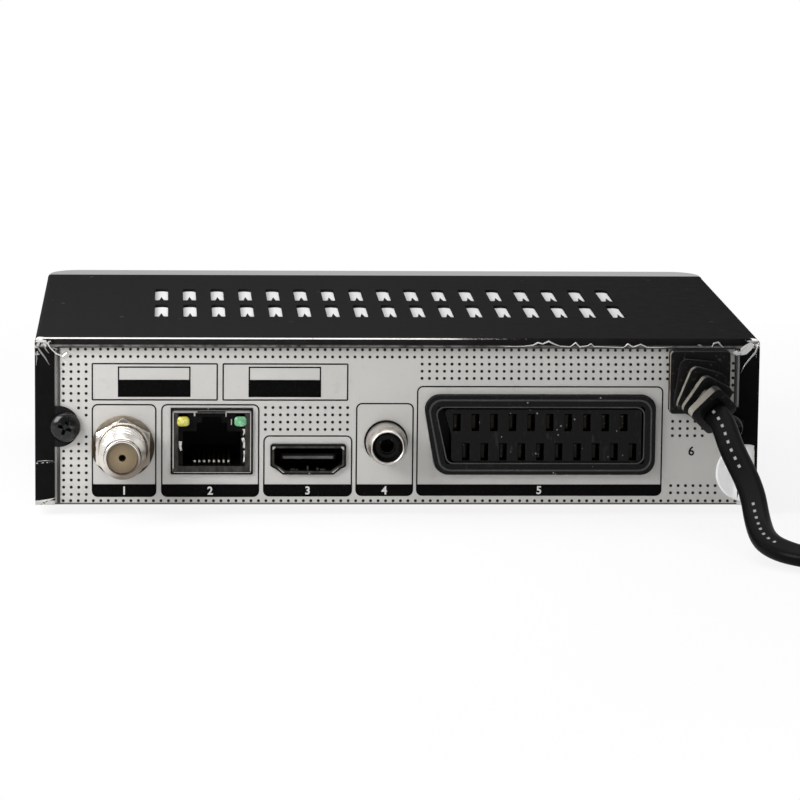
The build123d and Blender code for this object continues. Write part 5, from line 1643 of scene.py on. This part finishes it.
def key_marks(white_ink):
    """Plain marks on the keys: a broken ring with a stroke, and an arrow on each channel key."""
    y1 = corners("power_button")[0].y
    y0 = y1 - MARK_T
    power = Shapes()
    x, _, z = middle("power_button")
    arc = [math.radians(130 + 14 * i) for i in range(21)]
    ring = [on_circle(x, z, POWER_OUT, a) for a in arc] + [on_circle(x, z, POWER_IN, a) for a in arc[::-1]]
    power.plate(ring, y0, y1)
    power.plate(box_between(x + 0.17, x - 0.17, z + 1.9, z + 0.4, 0.1, 2), y0, y1)
    power.make("power_mark", white_ink, "key_plastic", "power_button")
    for name, way in (("channel_down_button", -1), ("channel_up_button", 1)):
        x, _, z = middle(name)
        arrow = Shapes()
        arrow.plate([(x - 1.3, z - 0.75 * way), (x + 1.3, z - 0.75 * way), (x, z + way)], y0, y1)
        arrow.make(name.replace("button", "mark"), white_ink, "key_plastic", name)


def glow(name, colour, strength):
    paint = Paint(name)
    core = paint.noise(1.2, 2.0)
    return paint.surface(
        Base_Color=paint.mix(core, (0.08, 0.01, 0.01, 1.0), (0.12, 0.02, 0.02, 1.0)),
        Roughness=0.4 + core * 0.1,
        Emission_Color=paint.mix(core, colour, tuple(0.85 * c for c in colour[:3]) + (1.0,)),
        Emission_Strength=strength,
    )


# ------------------------------------------------------------------ studio
WORLD_LIGHT = 0.42
ROOM_SIDE = 0.16  # brightness of the room on the camera's side, in reflections
FLOOR_WHITE = 0.84  # how much of the floor near the object is plain white
FLOOR_HALF, FLOOR_DROP = 1400, 0.2
LAMPS = {  # place, aim, size and power
    "key_lamp": ((212, 156, 150), (60, 45, 18), (150, 150), 0.68),
    "far_lamp": ((-300, 460, 420), (0, 40, 15), (300, 300), 0.08),
    "top_lamp": ((40, -60, 480), (0, 0, 10), (500, 300), 0.9),
}
CAMERA_AT = (47.3, 896.4, 164.2)
CAMERA_YAW, CAMERA_DIP, CAMERA_ROLL = (math.radians(degrees) for degrees in (3.204, 9.359, 0.608))
FOCAL_PIXELS = 4228.0
IMAGE_PIXELS = 800.0


def lamp(name, place, aim, size, power):
    light = bpy.data.lights.new(name, "AREA")
    light.shape = "RECTANGLE"
    light.size, light.size_y = size[0] * MM, size[1] * MM
    light.energy = power
    made = placed(name, light)
    made.location = Vector(place) * MM
    made.rotation_euler = (Vector(aim) - Vector(place)).to_track_quat("-Z", "Y").to_euler()
    made.visible_camera = False


def studio_world():
    """White wherever it is seen behind the object; glosses see the room's dimmer side in front of it."""
    world = bpy.data.worlds.new("studio")
    bpy.context.scene.world = world
    paint = Paint("studio", world)
    _, towards, _ = paint.split(paint.node("ShaderNodeTexCoord", output="Generated"))
    gloss = paint.node("ShaderNodeLightPath", output="Is Glossy Ray")
    shown = paint.mix(gloss * towards.ramp(0.05, 0.6), grey(1.0), grey(ROOM_SIDE))
    soft = paint.node("ShaderNodeBackground", inputs={"Color": grey(1.0), "Strength": WORLD_LIGHT})
    white = paint.node("ShaderNodeBackground", inputs={"Color": shown, "Strength": 1.0})
    paint.out(paint.node("ShaderNodeMixShader", inputs={0: paint.seen(), 1: soft, 2: white}))


def studio_floor():
    """Pale paper that takes the object's shadow, shows as white further out, and is clear from below."""
    mesh = bpy.data.meshes.new("studio_floor")
    square = ((-1, -1), (1, -1), (1, 1), (-1, 1))
    mesh.from_pydata([(x * FLOOR_HALF * MM, y * FLOOR_HALF * MM, 0) for x, y in square], [], [(0, 1, 2, 3)])
    paint = Paint("studio_paper")
    tooth = paint.noise(0.4, 3.0)
    lit = paint.node("ShaderNodeBsdfPrincipled", inputs={
        "Base Color": paint.mix(tooth, grey(0.86), grey(0.9)), "Roughness": 0.9, "Specular IOR Level": 0.1,
    })
    away = paint.distance((-20, 0, 0))
    white = paint.node("ShaderNodeEmission", inputs={"Color": grey(1.0), "Strength": 1.0})
    paper = paint.node("ShaderNodeMixShader", inputs={
        0: paint.seen() * away.ramp(110.0, 260.0, FLOOR_WHITE, 1.0), 1: lit, 2: white,
    })
    below = paint.node("ShaderNodeNewGeometry", output="Backfacing")
    clear = paint.node("ShaderNodeBsdfTransparent")
    paint.out(paint.node("ShaderNodeMixShader", inputs={0: below, 1: paper, 2: clear}))
    mesh.materials.append(paint.material)
    floor = placed("studio_floor", mesh)
    floor.location.z = -FLOOR_DROP * MM


def camera():
    """Looks at the back, from a little above and to the aerial's side."""
    data = bpy.data.cameras.new("view")
    data.sensor_width = 36.0
    data.lens = data.sensor_width * FOCAL_PIXELS / IMAGE_PIXELS
    data.clip_start, data.clip_end = 0.05, 20.0
    made = placed("view", data)
    made.location = Vector(CAMERA_AT) * MM
    level = math.cos(CAMERA_DIP)
    ahead = Vector((-math.sin(CAMERA_YAW) * level, -math.cos(CAMERA_YAW) * level, -math.sin(CAMERA_DIP)))
    right = ahead.cross(Vector((0, 0, 1))).normalized()
    up = right.cross(ahead)
    along, across = math.cos(CAMERA_ROLL), math.sin(CAMERA_ROLL)
    axes = (right * along + up * across, up * along - right * across, -ahead)
    made.rotation_euler = Matrix(axes).transposed().to_euler()
    bpy.context.scene.camera = made


def main():
    camera()
    finishes = finish_nodes()
    plug_grips(frame["nodes"]["plug_body"].data.materials[0])
    coil_strap(finishes["tie_strap"])
    ribbed_relief(frame["nodes"]["strain_relief"].data.materials[0])
    mains_lead(finishes["lead_rubber"])
    ink, bar_ink = print_ink("grey_ink", 0.012, 0.04), print_ink("bar_ink", 0.003, 0.008, 0.02)
    white_ink = print_ink("white_ink", 0.62, 0.5)
    panel_dots(ink)
    panel_frames(ink, bar_ink)
    panel_figures(white_ink, ink)
    tin, black, dull = finishes["socket_shell"], finishes["dark_plastic"], shaded_shell()
    aerial_nickel_painted_shade = bright_nickel("aerial_nickel_painted_shade", 0.035, 0.2, AERIAL)
    aerial_thread(aerial_nickel_painted_shade)
    aerial_hex(aerial_nickel_painted_shade)
    coax_nose(bright_nickel("phono_nickel", 0.02, 0.32), gloss_black("socket_gloss", 0.004))
    network_rim(tin, dull, black, pale_metal(), finishes["signal_lights"])
    video_rim(tin, dull, black, matt_plastic("tongue_edge", 0.07, 0.02, 0.4, 0.2))
    av_bead(matt_plastic("bead_painted_highlight", 0.03, 0.02, 0.3, 0.4))
    domed_screws(finishes["black_screws"])
    lip_scars(scraped_steel())
    lip_rubs(matt_plastic("rubbed_paint", 0.16, 0.03, 0.4, 0.5))
    lip_hems(hem_grey_band())
    round_sticker(sticker_paper())
    lit_figures(glow("lit_bars", (1.0, 0.06, 0.02, 1.0), 2.8), matt_plastic("unlit_bars", 0.03, 0.3))
    key_marks(white_ink)
    studio_world()
    studio_floor()
    for name, settings in LAMPS.items():
        lamp(name, *settings)
    bpy.context.scene.view_settings.view_transform = "Standard"


main()
